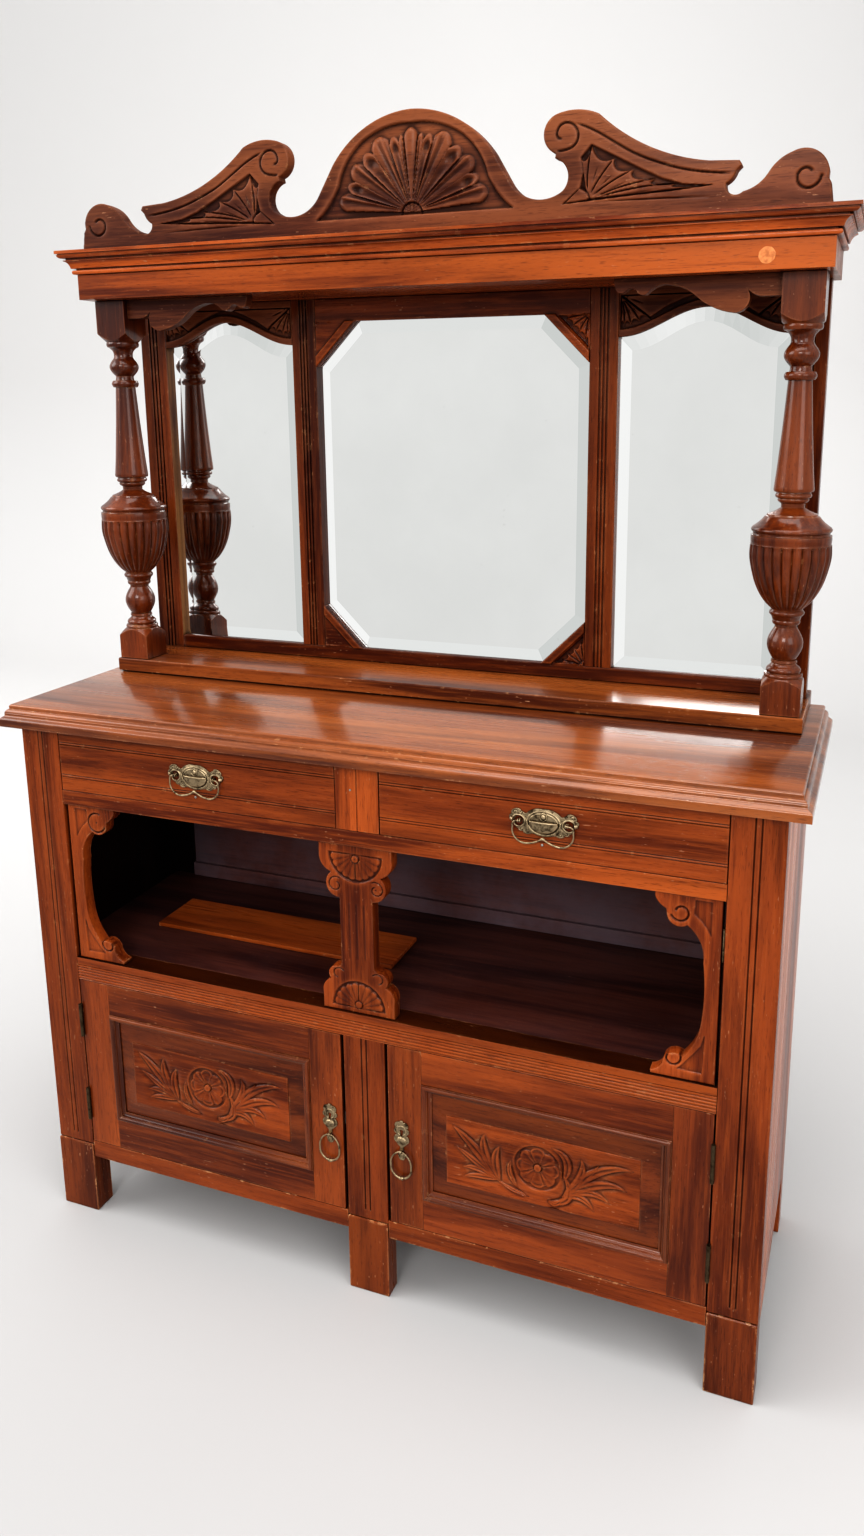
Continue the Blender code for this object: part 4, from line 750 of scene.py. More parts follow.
    def build(self, name, front, back, look, nodes=(), body="root", slot="mahogany", reach=3):
        """Turns the grid into a closed solid whose edge points lie on the outline."""
        rounded = np.clip(self.arris - np.clip(self.inside, 0, None), 0, self.arris)
        fall = self.arris - np.sqrt(np.clip(self.arris**2 - rounded**2, 0, None))
        smooth = blurred(self.rise, reach)
        hollow = np.clip((smooth - self.rise) / 0.0011, 0, 1)
        ridge = np.clip((self.rise - smooth) / 0.0009, 0, 1)
        keep = self.inside > 0
        halves = (slice(None, -1), slice(1, None))
        quarters = [(a, b) for a in halves for b in halves]
        cells = np.logical_or.reduce([keep[quarter] for quarter in quarters])
        used = np.zeros(keep.shape, bool)
        for quarter in quarters:
            used[quarter] |= cells
        slope_z, slope_x = np.gradient(self.inside, self.zs, self.xs)
        steep = np.maximum(np.hypot(slope_x, slope_z), 0.3)
        shift = np.where(keep, 0.0, -self.inside) / steep
        px = self.x + slope_x / steep * shift
        pz = self.z + slope_z / steep * shift
        count = int(used.sum())
        index = np.full(keep.shape, -1)
        index[used] = np.arange(count)
        points = np.column_stack([px[used], (front - (self.rise - fall))[used], pz[used]])
        r, c = np.nonzero(cells)
        corners = (index[r, c], index[r, c + 1], index[r + 1, c + 1], index[r + 1, c])
        faces = np.column_stack(corners).tolist()
        padded = np.pad(cells, 1)
        r, c = np.nonzero(padded[:-1, 1:-1] != padded[1:, 1:-1])
        edges = np.column_stack((index[r, c], index[r, c + 1])).tolist()
        r, c = np.nonzero(padded[1:-1, :-1] != padded[1:-1, 1:])
        edges += np.column_stack((index[r, c], index[r + 1, c])).tolist()
        rim = sorted({i for edge in edges for i in edge})
        behind = {i: count + n for n, i in enumerate(rim)}
        rear = points[rim].copy()
        rear[:, 1] = back
        faces += [(a, b, behind[b], behind[a]) for a, b in edges]
        mesh = bpy.data.meshes.new(name)
        mesh.from_pydata(np.vstack([points, rear]).tolist(), [], faces)
        for title, values in (("hollow", hollow), ("crest", ridge)):
            layer = mesh.attributes.new(title, "FLOAT", "POINT")
            layer.data.foreach_set("value", np.concatenate([values[used], np.zeros(len(rim))]))
        bm = bmesh.new()
        bm.from_mesh(mesh)
        open_edges = [edge for edge in bm.edges if len(edge.link_faces) == 1]
        bmesh.ops.triangle_fill(bm, edges=open_edges, use_beauty=False, use_dissolve=False)
        bm.to_mesh(mesh)
        bm.free()
        return dress(name, mesh, [look], body, nodes, 0.0, 62)


def spaced(*stretches):
    """Grid lines through stretches of (start, end, spacing)."""
    lines = []
    for start, end, step in stretches:
        count = max(1, round((end - start) / (step * FINE)))
        lines.extend(start + (end - start) * i / count for i in range(count))
    return [*lines, stretches[-1][1]]


def mirrored(lines):
    """Grid lines for both halves, from those of the right half that start at 0."""
    return [-x for x in reversed(lines) if x > 1e-9] + list(lines)


def rod(path, radii, y, sides=14, closed=False):
    """Loops of a round rod along a path in the plane at y."""
    loops = []
    last = len(path) - 1
    for i, (point, radius) in enumerate(zip(path, radii)):
        before = path[i - 1] if i > 0 or closed else path[i]
        after = path[(i + 1) % len(path)] if i < last or closed else path[i]
        along = (Vector(after) - Vector(before)).normalized()
        across = Vector((-along.y, along.x))
        loop = []
        for share, out in circle((0.0, 0.0), radius, sides):
            aside = across * share
            loop.append((point[0] + aside.x, y + out, point[1] + aside.y))
        loops.append(loop)
    return loops


def spans(node):
    """The three pairs of limits of a CAD node."""
    return list(zip(*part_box(node)))


def middle_of(span):
    return (span[0] + span[1]) / 2


def only_look(name, look):
    """Gives a kept CAD node its finish."""
    obj = NODES[name]
    if obj.material_slots:
        obj.data.materials.clear()
    obj.data.materials.append(look)


# The case


CASE_BOARDS = {
    "muntin_drawers": ("bright", "Z", 1.0),
    "bottom_rail": ("red", "X", 2.4),
    "drawer_rail": ("bright", "X", 1.0),
    "side_left": ("red", "Z", 0.8),
    "side_right": ("red", "Z", 0.8),
    "back_panel": ("dark", "X", 0.4),
    "cupboard_floor": ("dark", "X", 0.4),
    "recess_floor": ("dark", "X", 0.5),
    "dust_board_with_guides": ("dark", "X", 0.3),
    "loose_shelf_board": ("bright", "X", 1.2),
    "column_shelf": ("golden", "X", 1.4),
    "frieze_and_soffit": ("bright", "X", 0.6),
}
GLOSS = {"brown": 0.5, "dark": 0.4}

# Boards with more or less polish than their tone has. A name without a side stands for both
POLISH = {
    "worktop": 4.2,
    "column_shelf": 1.0,
    "column": 3.0,
    "recess_floor": 0.8,
    "door_rails": 1.4,
    "door_stiles": 1.4,
    "door_moulding": 2.8,
    "door_panel": 1.8,
}

# Boards that are paler or darker than their tone
DEPTHS = {
    "column": 0.74,
    "inner_stile": 0.66,
    "outer_stile": 0.72,
    "frame_top_rail": 1.05,
    "frame_bottom_rail": 0.74,
    "arch_head": 0.92,
    "frieze_and_soffit": 0.92,
    "cornice": 1.25,
    "door_moulding": 0.72,
    "door_panel": 0.74,
    "door_field": 1.12,
    "door_right_rails": 1.1,
    # The top of the shelf rail is darkened as painted shade
    "shelf_top": 0.20,
    "fret_left": 1.18,
    "fret_right": 1.4,
    "foot_left_block": 0.74,
    "foot_middle_block": 0.74,
    "foot_right_block": 0.80,
    "drawer_right_front": 1.15,
    "post_right": 1.12,
    # The right side board is made paler as a painted sheen
    "side_right": 1.7,
    "muntin_drawers": 1.15,
    "back_panel": 1.5,
    "recess_floor": 1.2,
    "loose_shelf_board": 1.25,
    "pilaster": 1.1,
    "crest": 0.90,
}

# Where painted shade turns the side boards dark towards the inside of the case, along X
INSIDE_PAINTED_SHADE = {"side_left": (-0.6000, -0.5985), "side_right": (0.6000, 0.5985)}
# Dust on the back panel and recess floor, also a painted sheen
DUST_AND_SHEEN = {"back_panel": 0.80, "recess_floor": 0.12}


def of_board(table, name, usual):
    """What a table says of a board, by its own name or by its name without a side."""
    plain = name.replace("_left", "").replace("_right", "")
    return table.get(name, table.get(plain, usual))


def mahogany(name, tone, grain="X", wear=1.0, carved=False):
    shade = scaled(getattr(settings("wood"), tone), of_board(DEPTHS, name, 1.0))
    gloss = of_board(POLISH, name, GLOSS.get(tone, 1.0))
    dust = DUST_AND_SHEEN.get(name, 0.0)
    return polished_wood(name, shade, grain, gloss, wear, carved, dust, INSIDE_PAINTED_SHADE.get(name))


class SIDEBOARD_OT_polish_boards(Operator):
    """Polish the plain boards of the case and give their arrises a soft edge."""

    bl_idname = "sideboard.polish_boards"
    bl_label = "Polish Boards"

    def execute(self, context):
        looks = {name: mahogany(name, *how) for name, how in CASE_BOARDS.items()}
        for name in ("drawer_left_box", "drawer_right_box", "mirror_backboard"):
            looks[name] = plain_pine(name)
        for name, look in looks.items():
            only_look(name, look)
            soften(NODES[name], 0.0008, weld=True)
        for name in ("mirror_centre", "mirror_left", "mirror_right"):
            only_look(name, silvered_glass(name))
        for _, hand in SIDES:
            only_look(f"door_{hand}_lock_bolt", dull_steel(f"bolt_{hand}"))
            for name in (f"door_{hand}_hinge_lower", f"door_{hand}_hinge_upper"):
                only_look(name, cast_brass(name, 0.15))
        return {"FINISHED"}


class SIDEBOARD_OT_mould_boards(Operator):
    """Run the mouldings of the worktop, the shelf rail and the cornice."""

    bl_idname = "sideboard.mould_boards"
    bl_label = "Run Mouldings"

    def execute(self, context):
        self.worktop()
        self.shelf_rail()
        self.cornice()
        return {"FINISHED"}

    def worktop(self):
        x, y, z = spans("worktop")
        thick = z[1] - z[0]
        edge = Drawing(0.001, 0.0).trace(
            (0.0, 0.02), (0.0, 0.31), (0.02, 0.36, 0.05, 0.39, 5), (0.13, 0.44),
            (0.20, 0.52, 0.19, 0.60, 6), (0.20, 0.61), (0.25, 0.73, 0.36, 0.79, 8),
            (0.36, 0.86), (0.37, 0.95, 0.44, 1.0, 5),
        )
        loops = []
        for inset, rise in edge.points:
            inset, height = inset * thick, z[0] + rise * thick
            corners = rectangle((x[0] + inset, x[1] - inset), (y[0] + inset, y[1]))
            loops.append([(a, b, height) for a, b in corners])
        look = mahogany("worktop", "golden", "X", 1.3)
        Shape().skin(loops).build("worktop_board", [look], ["worktop"], 0.0003)

    def shelf_rail(self):
        x, (front, back), z = spans("shelf_rail")
        section = Drawing(back, z[0]).trace((front, z[0]))
        height = z[0] + 0.0014
        reed = 0.0052
        for _ in range(4):
            end = (front + 0.0016, height + reed - 0.0004)
            section.trace((front + 0.0016, height), (front, height + reed / 2, *end, 8))
            height += reed
        nosing = ((0.0018, 0.0008), (0, 0.0012), (0, 0.0040), (0.0014, 0.0046), (0, 0.0056))
        for out, rise in nosing:
            section.trace((front + out, height + rise))
        outline = section.trace((front, z[1]), (back, z[1])).placed()
        top = len(outline) - 2
        looks = [int(i == top) for i in range(len(outline))]
        shape = Shape().skin([[(a, b, c) for b, c in outline] for a in x], looks=looks)
        # Its top face takes a darker wood, as painted shade
        woods = [mahogany("shelf_rail", "red", "X", 0.45), mahogany("shelf_top", "red", "X", 0.6)]
        shape.build("reeded_rail", woods, ["shelf_rail"], 0.0004, slot="bright_mahogany")

    def cornice(self):
        x, y, z = spans("cornice")
        case_x, frieze_y, _ = spans("frieze_and_soffit")
        side_out, front_out = case_x[0] - x[0], frieze_y[0] - y[0]
        edge = Drawing(0.0, 0.0).trace(
            (0.13, 0.02), (0.24, 0.10, 0.15, 0.19, 8), (0.02, 0.20), (0.02, 0.25), (0.28, 0.26),
            (0.38, 0.45, 0.62, 0.57, 10), (0.62, 0.60), (0.48, 0.61), (0.48, 0.67), (0.70, 0.68),
            (0.85, 0.73, 0.92, 0.81, 8), (0.86, 0.82), (0.86, 0.86), (1.0, 0.87), (1.0, 1.0),
        )
        inner = rectangle(case_x, (frieze_y[0], y[1]), 0.02)
        loops = [[(a, b, height) for a, b in inner] for height in (z[1] - 0.012, z[0])]
        for out, rise in edge.points:
            across = (case_x[0] - out * side_out, case_x[1] + out * side_out)
            corners = rectangle(across, (frieze_y[0] - out * front_out, y[1]))
            loops.append([(a, b, z[0] + rise * (z[1] - z[0])) for a, b in corners])
        look = mahogany("cornice", "bright", "X", 1.0)
        shape = Shape().skin(loops)
        shape.build("cornice_moulding", [look], ["cornice"], 0.0004, slot="bright_mahogany")


def fine_near(span, cuts, step, reach=0.004):
    """Grid lines over a span, fine at its ends and near each cut, wide between."""
    start, end = span
    lines = [start - 0.0006, start + 0.0022]
    for mark in (start, *cuts, end):
        low, high = mark - reach, mark + reach
        count = round(2 * reach / (step * 0.55))
        lines.extend(low + (high - low) * i / count for i in range(count + 1))
    wide = max(4, round((end - start) / 0.006))
    lines.extend(start + (end - start) * i / wide for i in range(wide + 1))
    kept = []
    for line in sorted(line for line in lines if start - 0.0007 < line < end + 0.0007):
        if not kept or line - kept[-1] > step * 0.4:
            kept.append(line)
    kept[-1] = end + 0.0006
    return kept


def lined_board(x, z, lines):
    """A board with fine lines cut into its face. Each line is (start, end, width, depth)."""
    step = settings("carving").grid
    ends = [point for start, end, _, _ in lines for point in (start, end)]
    xs = fine_near(x, sorted({point[0] for point in ends}), step)
    zs = fine_near(z, sorted({point[1] for point in ends}), step)
    board = Carving(xs, zs, rectangle(x, z), arris=0.0013)
    for start, end, width, depth in lines:
        board.groove([start, end], width, depth)
    return board


FOOT_TOP = 0.1352


class SIDEBOARD_OT_cut_front_boards(Operator):
    """Cut the lined posts, muntin and drawer fronts, with the foot blocks."""

    bl_idname = "sideboard.cut_front_boards"
    bl_label = "Cut Front Boards"

    def execute(self, context):
        for _, hand in SIDES:
            self.upright(f"post_{hand}", f"lined_post_{hand}")
            self.foot(f"post_{hand}", f"foot_{hand}")
            self.drawer_front(hand)
        self.muntin()
        self.foot("muntin_doors", "foot_middle")
        return {"FINISHED"}

    def upright(self, node, name, seam=None):
        """A board with two lines down its middle."""
        x, y, z = spans(node)
        lines = []
        for shift in (-0.0042, 0.0042):
            place = middle_of(x) + shift
            lines.append(((place, 0.1520), (place, z[1] + 0.01), 0.0026, 0.0021))
        look = mahogany(node, "red", "Z", 0.8, carved=True)
        board = lined_board(x, (FOOT_TOP, z[1]), lines)
        board.build(name, y[0] + 0.002, seam or y[1], look, [node])
        return look

    def foot(self, node, name):
        """The foot block under an upright."""
        x, y, _ = spans(node)
        top = FOOT_TOP
        steps = ((0.0, 0.0012), (0.0012, 0.0), (top - 0.0025, 0.0), (top - 0.0006, 0.0016))
        loops = []
        for height, inset in steps:
            corners = rectangle((x[0] + inset, x[1] - inset), (y[0] + inset, y[1]))
            loops.append([(a, b, height) for a, b in corners])
        block = mahogany(f"{name}_block", "red", "Z", 3.0)
        Shape().skin(loops).build(name, [block], (), 0.0009)

    def muntin(self):
        """The muntin between the doors, whose rear half has a mortice for each bolt."""
        _, y, z = spans("muntin_doors")
        _, bolt_y, bolt_z = spans("door_left_lock_bolt")
        seam = bolt_y[0] - 0.0012
        look = self.upright("muntin_doors", "lined_muntin", seam)
        low, high, mouth = bolt_z[0] - 0.001, bolt_z[1] + 0.001, bolt_y[1] + 0.001
        reach, bottom = 0.035, 0.028
        loops = []
        for end, floor in ((reach, mouth), (bottom, mouth), (bottom, seam)):
            notch = ((seam, FOOT_TOP), (seam, low), (floor, low), (floor, high), (seam, high))
            section = (*notch, (seam, z[1]), (y[1], z[1]), (y[1], FOOT_TOP))
            loops.append([(-end, b, c) for b, c in section])
        loops += [[(-a, b, c) for a, b, c in loop] for loop in reversed(loops)]
        Shape().skin(loops).build("muntin_rear", [look])

    def drawer_front(self, hand):
        body = f"drawer_{hand}"
        x, y, z = spans(f"{body}_front")
        lines = []
        for height in (0.8740 - 0.0019, 0.8740 + 0.0019, 0.8195 - 0.0019, 0.8195 + 0.0019):
            lines.append(((x[0] - 0.01, height), (x[1] + 0.01, height), 0.0017, 0.0015))
        look = mahogany(f"{body}_front", "red", "X", 0.9, carved=True)
        board = lined_board(x, z, lines)
        board.build(f"lined_drawer_{hand}", *y, look, [f"{body}_front"], body)
        centre = (middle_of(spans(f"{body}_handle_plate")[0]) - 0.002, 0.8135)
        loops = []
        for out, radius in ((-0.002, 0.0019), (0.0012, 0.0019), (0.0019, 0.0013), (0.0021, 0.0004)):
            loops.append([(a, y[0] - out, b) for a, b in circle(centre, radius, 14)])
        steel = dull_steel(f"stop_{hand}")
        Shape().skin(loops).build(f"bail_stop_{hand}", [steel], body=body, slot="steel")


# Columns


# Turned profiles upwards in millimetres: radius, rise, and for a curve its bulge and rings
FOOT_TURNING = (
    (27.2, 0.0), (26.6, 5.5, 1.0), (24.2, 0.3), (23.6, 0.7), (23.0, 8.0, 1.8), (17.6, 6.0, -0.8),
    (18.9, 1.5), (18.4, 3.5), (16.6, 0.6), (16.0, 47.9, 9.6, 24), (16.2, 4.5), (18.8, 0.4),
    (19.4, 6.1, 0.9), (20.0, 0.5), (21.5, 5.0), (22.3, 10.0, 3.2), (23.0, 1.5),
)
URN_CAP_TURNING = (
    (56.4, 0.0), (56.2, 0.5), (56.6, 12.6, 0.4, 4), (54.4, 0.5), (53.6, 1.2), (54.0, 2.0),
    (55.0, 7.5, 2.2), (38.2, 15.5, -1.6, 14), (37.4, 0.3), (36.0, 0.4), (35.5, 2.3),
    (16.6, 9.5, -1.8), (16.8, 5.5), (21.4, 7.5, 2.4), (22.0, 0.3), (24.2, 0.7), (24.2, 6.0, 1.4),
    (24.0, 1.5),
)
NECK_TURNING = (
    (16.6, 0.0), (20.0, 0.4), (20.3, 11.1, 2.5), (15.6, 0.8), (14.8, 4.2), (14.8, 2.5),
    (17.0, 29.5, 8.4, 20), (15.8, 3.0), (15.8, 5.0), (22.5, 10.0, -1.5), (23.4, 0.3),
    (25.8, 1.2), (26.4, 7.5, 1.0),
)
# Radius and height in millimetres, and then share of the height and radius
URN_BOWL = (
    (23.0, 0.0), (31.5, 8.0), (40.5, 20.5), (48.8, 38.0), (55.0, 60.0), (57.8, 77.0), (57.2, 94.0)
)
SHAFT = ((0.0, 27.2), (0.008, 27.9), (0.02, 28.3), (0.22, 25.3), (0.62, 20.4), (1.0, 16.6))


def turned(profile, foot=0.0):
    """Rings (radius, height) of a turned profile, in metres, from its foot upwards."""
    radius, height = profile[0]
    rings = [(radius, height)]
    for end, rise, *curve in profile[1:]:
        bulge, steps = (*curve, 10)[:2] if curve else (0.0, 1)
        for i in range(1, steps + 1):
            part = i / steps
            bulged = radius + (end - radius) * part + bulge * math.sin(math.pi * part)
            rings.append((bulged, height + rise * part))
        radius, height = rings[-1]
    return [(ring / 1000, foot + level / 1000) for ring, level in rings]


def smooth_rings(points, steps):
    """More points through a row of points, on a smooth curve."""
    made = []
    last = len(points) - 1
    for i in range(last):
        quad = [Vector(points[max(0, min(last, i + k))]) for k in (-1, 0, 1, 2)]
        for step in range(steps):
            t = step / steps
            a = 2 * quad[1] + (quad[2] - quad[0]) * t
            b = (2 * quad[0] - 5 * quad[1] + 4 * quad[2] - quad[3]) * t * t
            c = (3 * quad[1] - quad[0] - 3 * quad[2] + quad[3]) * t**3
            made.append(tuple((a + b + c) / 2))
    return [*made, points[-1]]


class SIDEBOARD_OT_turn_columns(Operator):
    """Turn the two columns, with square ends and a reeded urn."""

    bl_idname = "sideboard.turn_columns"
    bl_label = "Turn Columns"

    def execute(self, context):
        for _, hand in SIDES:
            name = f"column_{hand}"
            look = mahogany(name, "red", "Z", 0.9)
            shape = Shape().skin(self.loops(spans(name), settings("carving").column_sides))
            shape.build(f"turned_{name}", [look], [name], 0.0, 34)
        return {"FINISHED"}

    def block_end(self, centre, far, arris_end, ring_radius, up, sides):
        """A square end whose corners run out under a turned shoulder."""
        half, slope, ease = 0.02875, 0.95, 0.0009
        corner = half * math.sqrt(2)
        square, edge, arches = [], [], []
        for cx, cy in circle((0.0, 0.0), 1.0, sides):
            reach = half / max(abs(cx), abs(cy))
            near = (centre[0] + reach * cx, centre[1] + reach * cy)
            tight = reach * (1 - ease / half)
            square.append((centre[0] + tight * cx, centre[1] + tight * cy, far))
            edge.append((*near, far + up * ease))
            arches.append((*near, arris_end + up * (corner - reach) * slope))
        height = arris_end + up * (corner - ring_radius) * slope
        return [square, edge, arches, self.ring(centre, ring_radius, height, sides)], height

    def ring(self, centre, radius, height, sides, groove=0.0):
        loop = []
        for i, (cx, cy) in enumerate(circle((0.0, 0.0), radius, sides)):
            dip = 1 - groove * (1 - abs(math.cos(math.tau * i / sides * 12)) ** 0.62)
            loop.append((centre[0] + dip * cx, centre[1] + dip * cy, height))
        return loop

    def loops(self, box, sides):
        centre, z = (middle_of(box[0]), middle_of(box[1])), box[2]
        low = FOOT_TURNING[0][0] / 1000 - 0.0003
        high = NECK_TURNING[-1][0] / 1000 - 0.0003
        loops, foot = self.block_end(centre, z[0], z[0] + 0.042, low, 1, sides)
        ends, head = self.block_end(centre, z[1], z[1] - 0.054, high, -1, sides)
        plain = turned(FOOT_TURNING, foot)
        bowl = [(r / 1000, plain[-1][1] + h / 1000) for r, h in smooth_rings(URN_BOWL, 8)]
        cap = turned(URN_CAP_TURNING, bowl[-1][1] + 0.0002)
        neck = turned(NECK_TURNING, head - turned(NECK_TURNING)[-1][1])
        base = cap[-1][1] + 0.001
        shaft = [(radius / 1000, base + share * (neck[0][1] - base)) for share, radius in SHAFT]
        shaft = shaft[:2] + smooth_rings(shaft[2:], 6)[:-1]
        last = len(bowl) - 1
        loops += [self.ring(centre, *level, sides) for level in plain]
        for i, level in enumerate(bowl):
            depth = math.sqrt(max(min(1.0, i / 5, (last - i) / 3), 0.0))
            loops.append(self.ring(centre, *level, sides, 0.085 * depth))
        loops += [self.ring(centre, *level, sides) for level in cap + shaft + neck]
        return loops + ends[::-1]


# Crest

# Right half of the crest, as shares of its half width and of its height
CREST = (
    (0.134, 0.864, 0.217, 0.586, 24), (0.257, 0.349), (0.328, 0.189, 0.387, 0.243, 18),
    (0.400, 0.379, 0.368, 0.503, 14), (0.370, 0.538), (0.340, 0.692, 0.373, 0.846, 20),
    (0.423, 0.864, 0.473, 0.817, 12), (0.592, 0.535, 0.728, 0.393, 24), (0.795, 0.379),
    (0.800, 0.343), (0.790, 0.308), (0.782, 0.254, 0.767, 0.213, 6),
    (0.777, 0.136, 0.805, 0.145, 10), (0.836, 0.190, 0.858, 0.268, 10),
    (0.880, 0.358, 0.908, 0.412, 10), (0.955, 0.415, 0.988, 0.262, 16), (0.987, 0.205),
    (0.993, 0.172), (1.0, 0.0), (0.0, 0.0),
)
# Petals of the shell from its middle outwards: width as a share, reach, kind
SHELL_PETALS = (
    (6.0, 0.118, "ridge"), (5.5, 0.110, "broad"), (9.0, 0.111, "hollow"), (16.0, 0.121, "broad"),
    (12.5, 0.115, "hollow"), (14.7, 0.120, "broad"), (10.3, 0.114, "hollow"),
    (14.0, 0.122, "broad"),
)
# Lines of a swan neck, in millimetres from the middle and from the floor
SCROLL = (
    (232, 1768), (225, 1771), (223.7, 1778), (228.6, 1786.7), (238.3, 1789.6), (248.3, 1785.3),
    (254.2, 1774.7), (252.6, 1764.2), (245.6, 1757), (234.4, 1753.9), (223, 1753.3),
)
SWAN = (
    (249, 1787.6), (264, 1782.6), (284.8, 1772.2), (310.8, 1756.2), (336.6, 1741.4),
    (367.1, 1728.7), (399.7, 1718.2), (431.7, 1711.8), (465.7, 1707.8),
)
SWAN_FIELD = (
    (231.4, 1682.2), (257.6, 1703.4), (261.7, 1722.2), (258.2, 1742.6), (273.5, 1759.1),
    (311.2, 1739.8), (342.2, 1723.5), (372.8, 1708.5), (402.9, 1698.8), (446, 1694.5),
    (388.4, 1690), (338.1, 1688.1), (272.4, 1684.4),
)
SWAN_FAN = (
    (258.6, 1742), (273.5, 1758.5), (306.2, 1738.5), (333.4, 1722), (365.3, 1708),
    (395.5, 1699.8), (440, 1694.4),
)


class SIDEBOARD_OT_carve_crest(Operator):
    """Carve the crest: the shell under its arch, the fans in the swan necks and the scrolls."""

    bl_idname = "sideboard.carve_crest"
    bl_label = "Carve Crest"

    def execute(self, context):
        sizes = settings("carving")
        x, y, z = spans("pediment")
        step = sizes.grid
        stretches = ((0.0, 0.13, 1.0), (0.13, 0.22, 1.8), (0.22, 0.47, 1.0), (0.47, 0.6, 1.4))
        xs = mirrored(spaced(*((a, b, step * wide) for a, b, wide in stretches)))
        xs = [max(x[0] - 0.002, min(x[1] + 0.002, value)) for value in xs]
        zs = spaced((z[0] - 0.001, z[1] + 0.001, step))
        outline = Drawing(0.0, 1.0, unit=(0.600, 0.169)).trace(*CREST).doubled((0.0, z[0]))
        board = Carving([-0.6025, *xs[1:-1], 0.6025], zs, outline)
        self.shell(board, z[0] + 0.0237, sizes.ground_depth)
        for side, _ in SIDES:
            self.swan_neck(board, side, sizes.line_width, sizes.line_depth)
        look = mahogany("crest", "brown", "X", 1.0, carved=True)
        board.rise = np.minimum(board.rise, 0.0038)
        board.build("carved_crest", y[0] + 0.004, y[1], look, ["pediment"])
        return {"FINISHED"}

    def shell(self, board, foot, depth):
        arch = Drawing(0.158, foot).trace(
            (0.134, foot + 0.024, 0.120, foot + 0.047, 10),
            (0.103, foot + 0.084, 0.078, foot + 0.108, 10),
            (0.040, foot + 0.124, 0.0, foot + 0.127, 12),
        )
        board.outlined(arch.doubled(), depth, 0.0032, 0.0018, 0.0012)
        widths, tips, kinds = zip(*SHELL_PETALS)
        edges = [90.0]
        for width in widths:
            edges.append(edges[-1] - width * 86 / sum(widths))
        edges = edges[1:]
        order = edges[::-1] + [180 - angle for angle in edges]
        tips, kinds = (row[:0:-1] + row for row in (tips, kinds))
        above = rectangle((-0.16, 0.16), (foot, foot + 0.14))
        board.petals((0.0, foot + 0.003), order, tips, depth + 0.0024, kinds, 0.085, above)
        ring = half_circle((0.0, foot + 0.0005), 0.0165, 24)
        board.sink(ring, 0.0012, 0.0008)
        board.groove(ring, 0.003, 0.0028)

    def swan_neck(self, board, side, width, depth):
        def at(*points):
            return [(side * px / 1000, pz / 1000) for px, pz in points]

        def smooth(*points):
            return smooth_rings(at(*points), 8)

        board.groove(smooth(*SCROLL), width, depth, 0.05)
        board.groove(smooth(*SWAN), width * 0.85, depth, 0.06)
        start = 30 if side > 0 else 150
        end_scroll = spiral((side * 0.565, 1.698), 0.0075, 0.0185, start, side * 335)
        board.groove(end_scroll, width, depth, 0.04)
        board.sink(at(*SWAN_FIELD), 0.0040)
        board.fan(at((268, 1687))[0], at(*SWAN_FAN), 0.0036)
        board.raised(at((234, 1683), (257, 1702.5), (266.5, 1697.5), (270, 1686)), 0.0034)
        edge = smooth((258.9, 1704), (266.5, 1698.5), (270.8, 1691.5), (272, 1684.5))
        board.groove(edge, 0.0030, 0.0022, 0.1)
        under = smooth((273, 1682.2), (320.4, 1682.6), (380, 1681.6), (440.4, 1679.7))
        board.groove(under, 0.0026, 0.0018, 0.3)


# Fretwork in the recess


def fret_outline(height):
    """Half a C, from its outer bottom corner. X runs inwards from the outer edge."""
    width, stile = 0.091, 0.020
    return Drawing(0.0, 0.0).trace(
        (width - 0.002, 0.0), (width - 0.001, 0.005),
        (width - 0.010, 0.009, width - 0.018, 0.020, 10),
        (width - 0.029, 0.036, width - 0.045, 0.034, 12),
        (stile + 0.010, 0.060, stile + 0.003, 0.086, 14),
        (stile, height / 2, stile + 0.003, height - 0.095, 14),
        (stile + 0.008, height - 0.066, stile + 0.026, height - 0.044, 14),
        (width - 0.030, height - 0.047, width - 0.017, height - 0.033, 12),
        (width - 0.016, height - 0.024), (width - 0.006, height - 0.017, width, height - 0.007, 10),
        (width, height), (0.0, height),
    )


def pilaster_outline(height):
    wide, stem = 0.060, 0.0275
    return Drawing(0.0, 0.0).trace(
        (wide, 0.0), (wide, 0.024), (wide - 0.002, 0.040, wide - 0.014, 0.050, 10),
        (wide - 0.011, 0.064, wide - 0.022, 0.072, 10), (stem + 0.003, 0.074, stem, 0.082, 8),
        (stem, height - 0.087), (stem + 0.021, height - 0.072, stem + 0.013, height - 0.047, 14),
        (wide - 0.004, height - 0.036, wide, height - 0.017, 12), (wide, height), (0.0, height),
    )


# Sunk fields of a fretted frame in millimetres, from its outer edge and from its nearer end
FRET_UPPER = ((36, 6), (14, 6), (14, 54), (20, 44), (27, 35), (37, 26))
FRET_LOWER = ((17, -71), (19, -14), (52, -15), (45, -22), (38, -32), (30, -42), (21, -55))


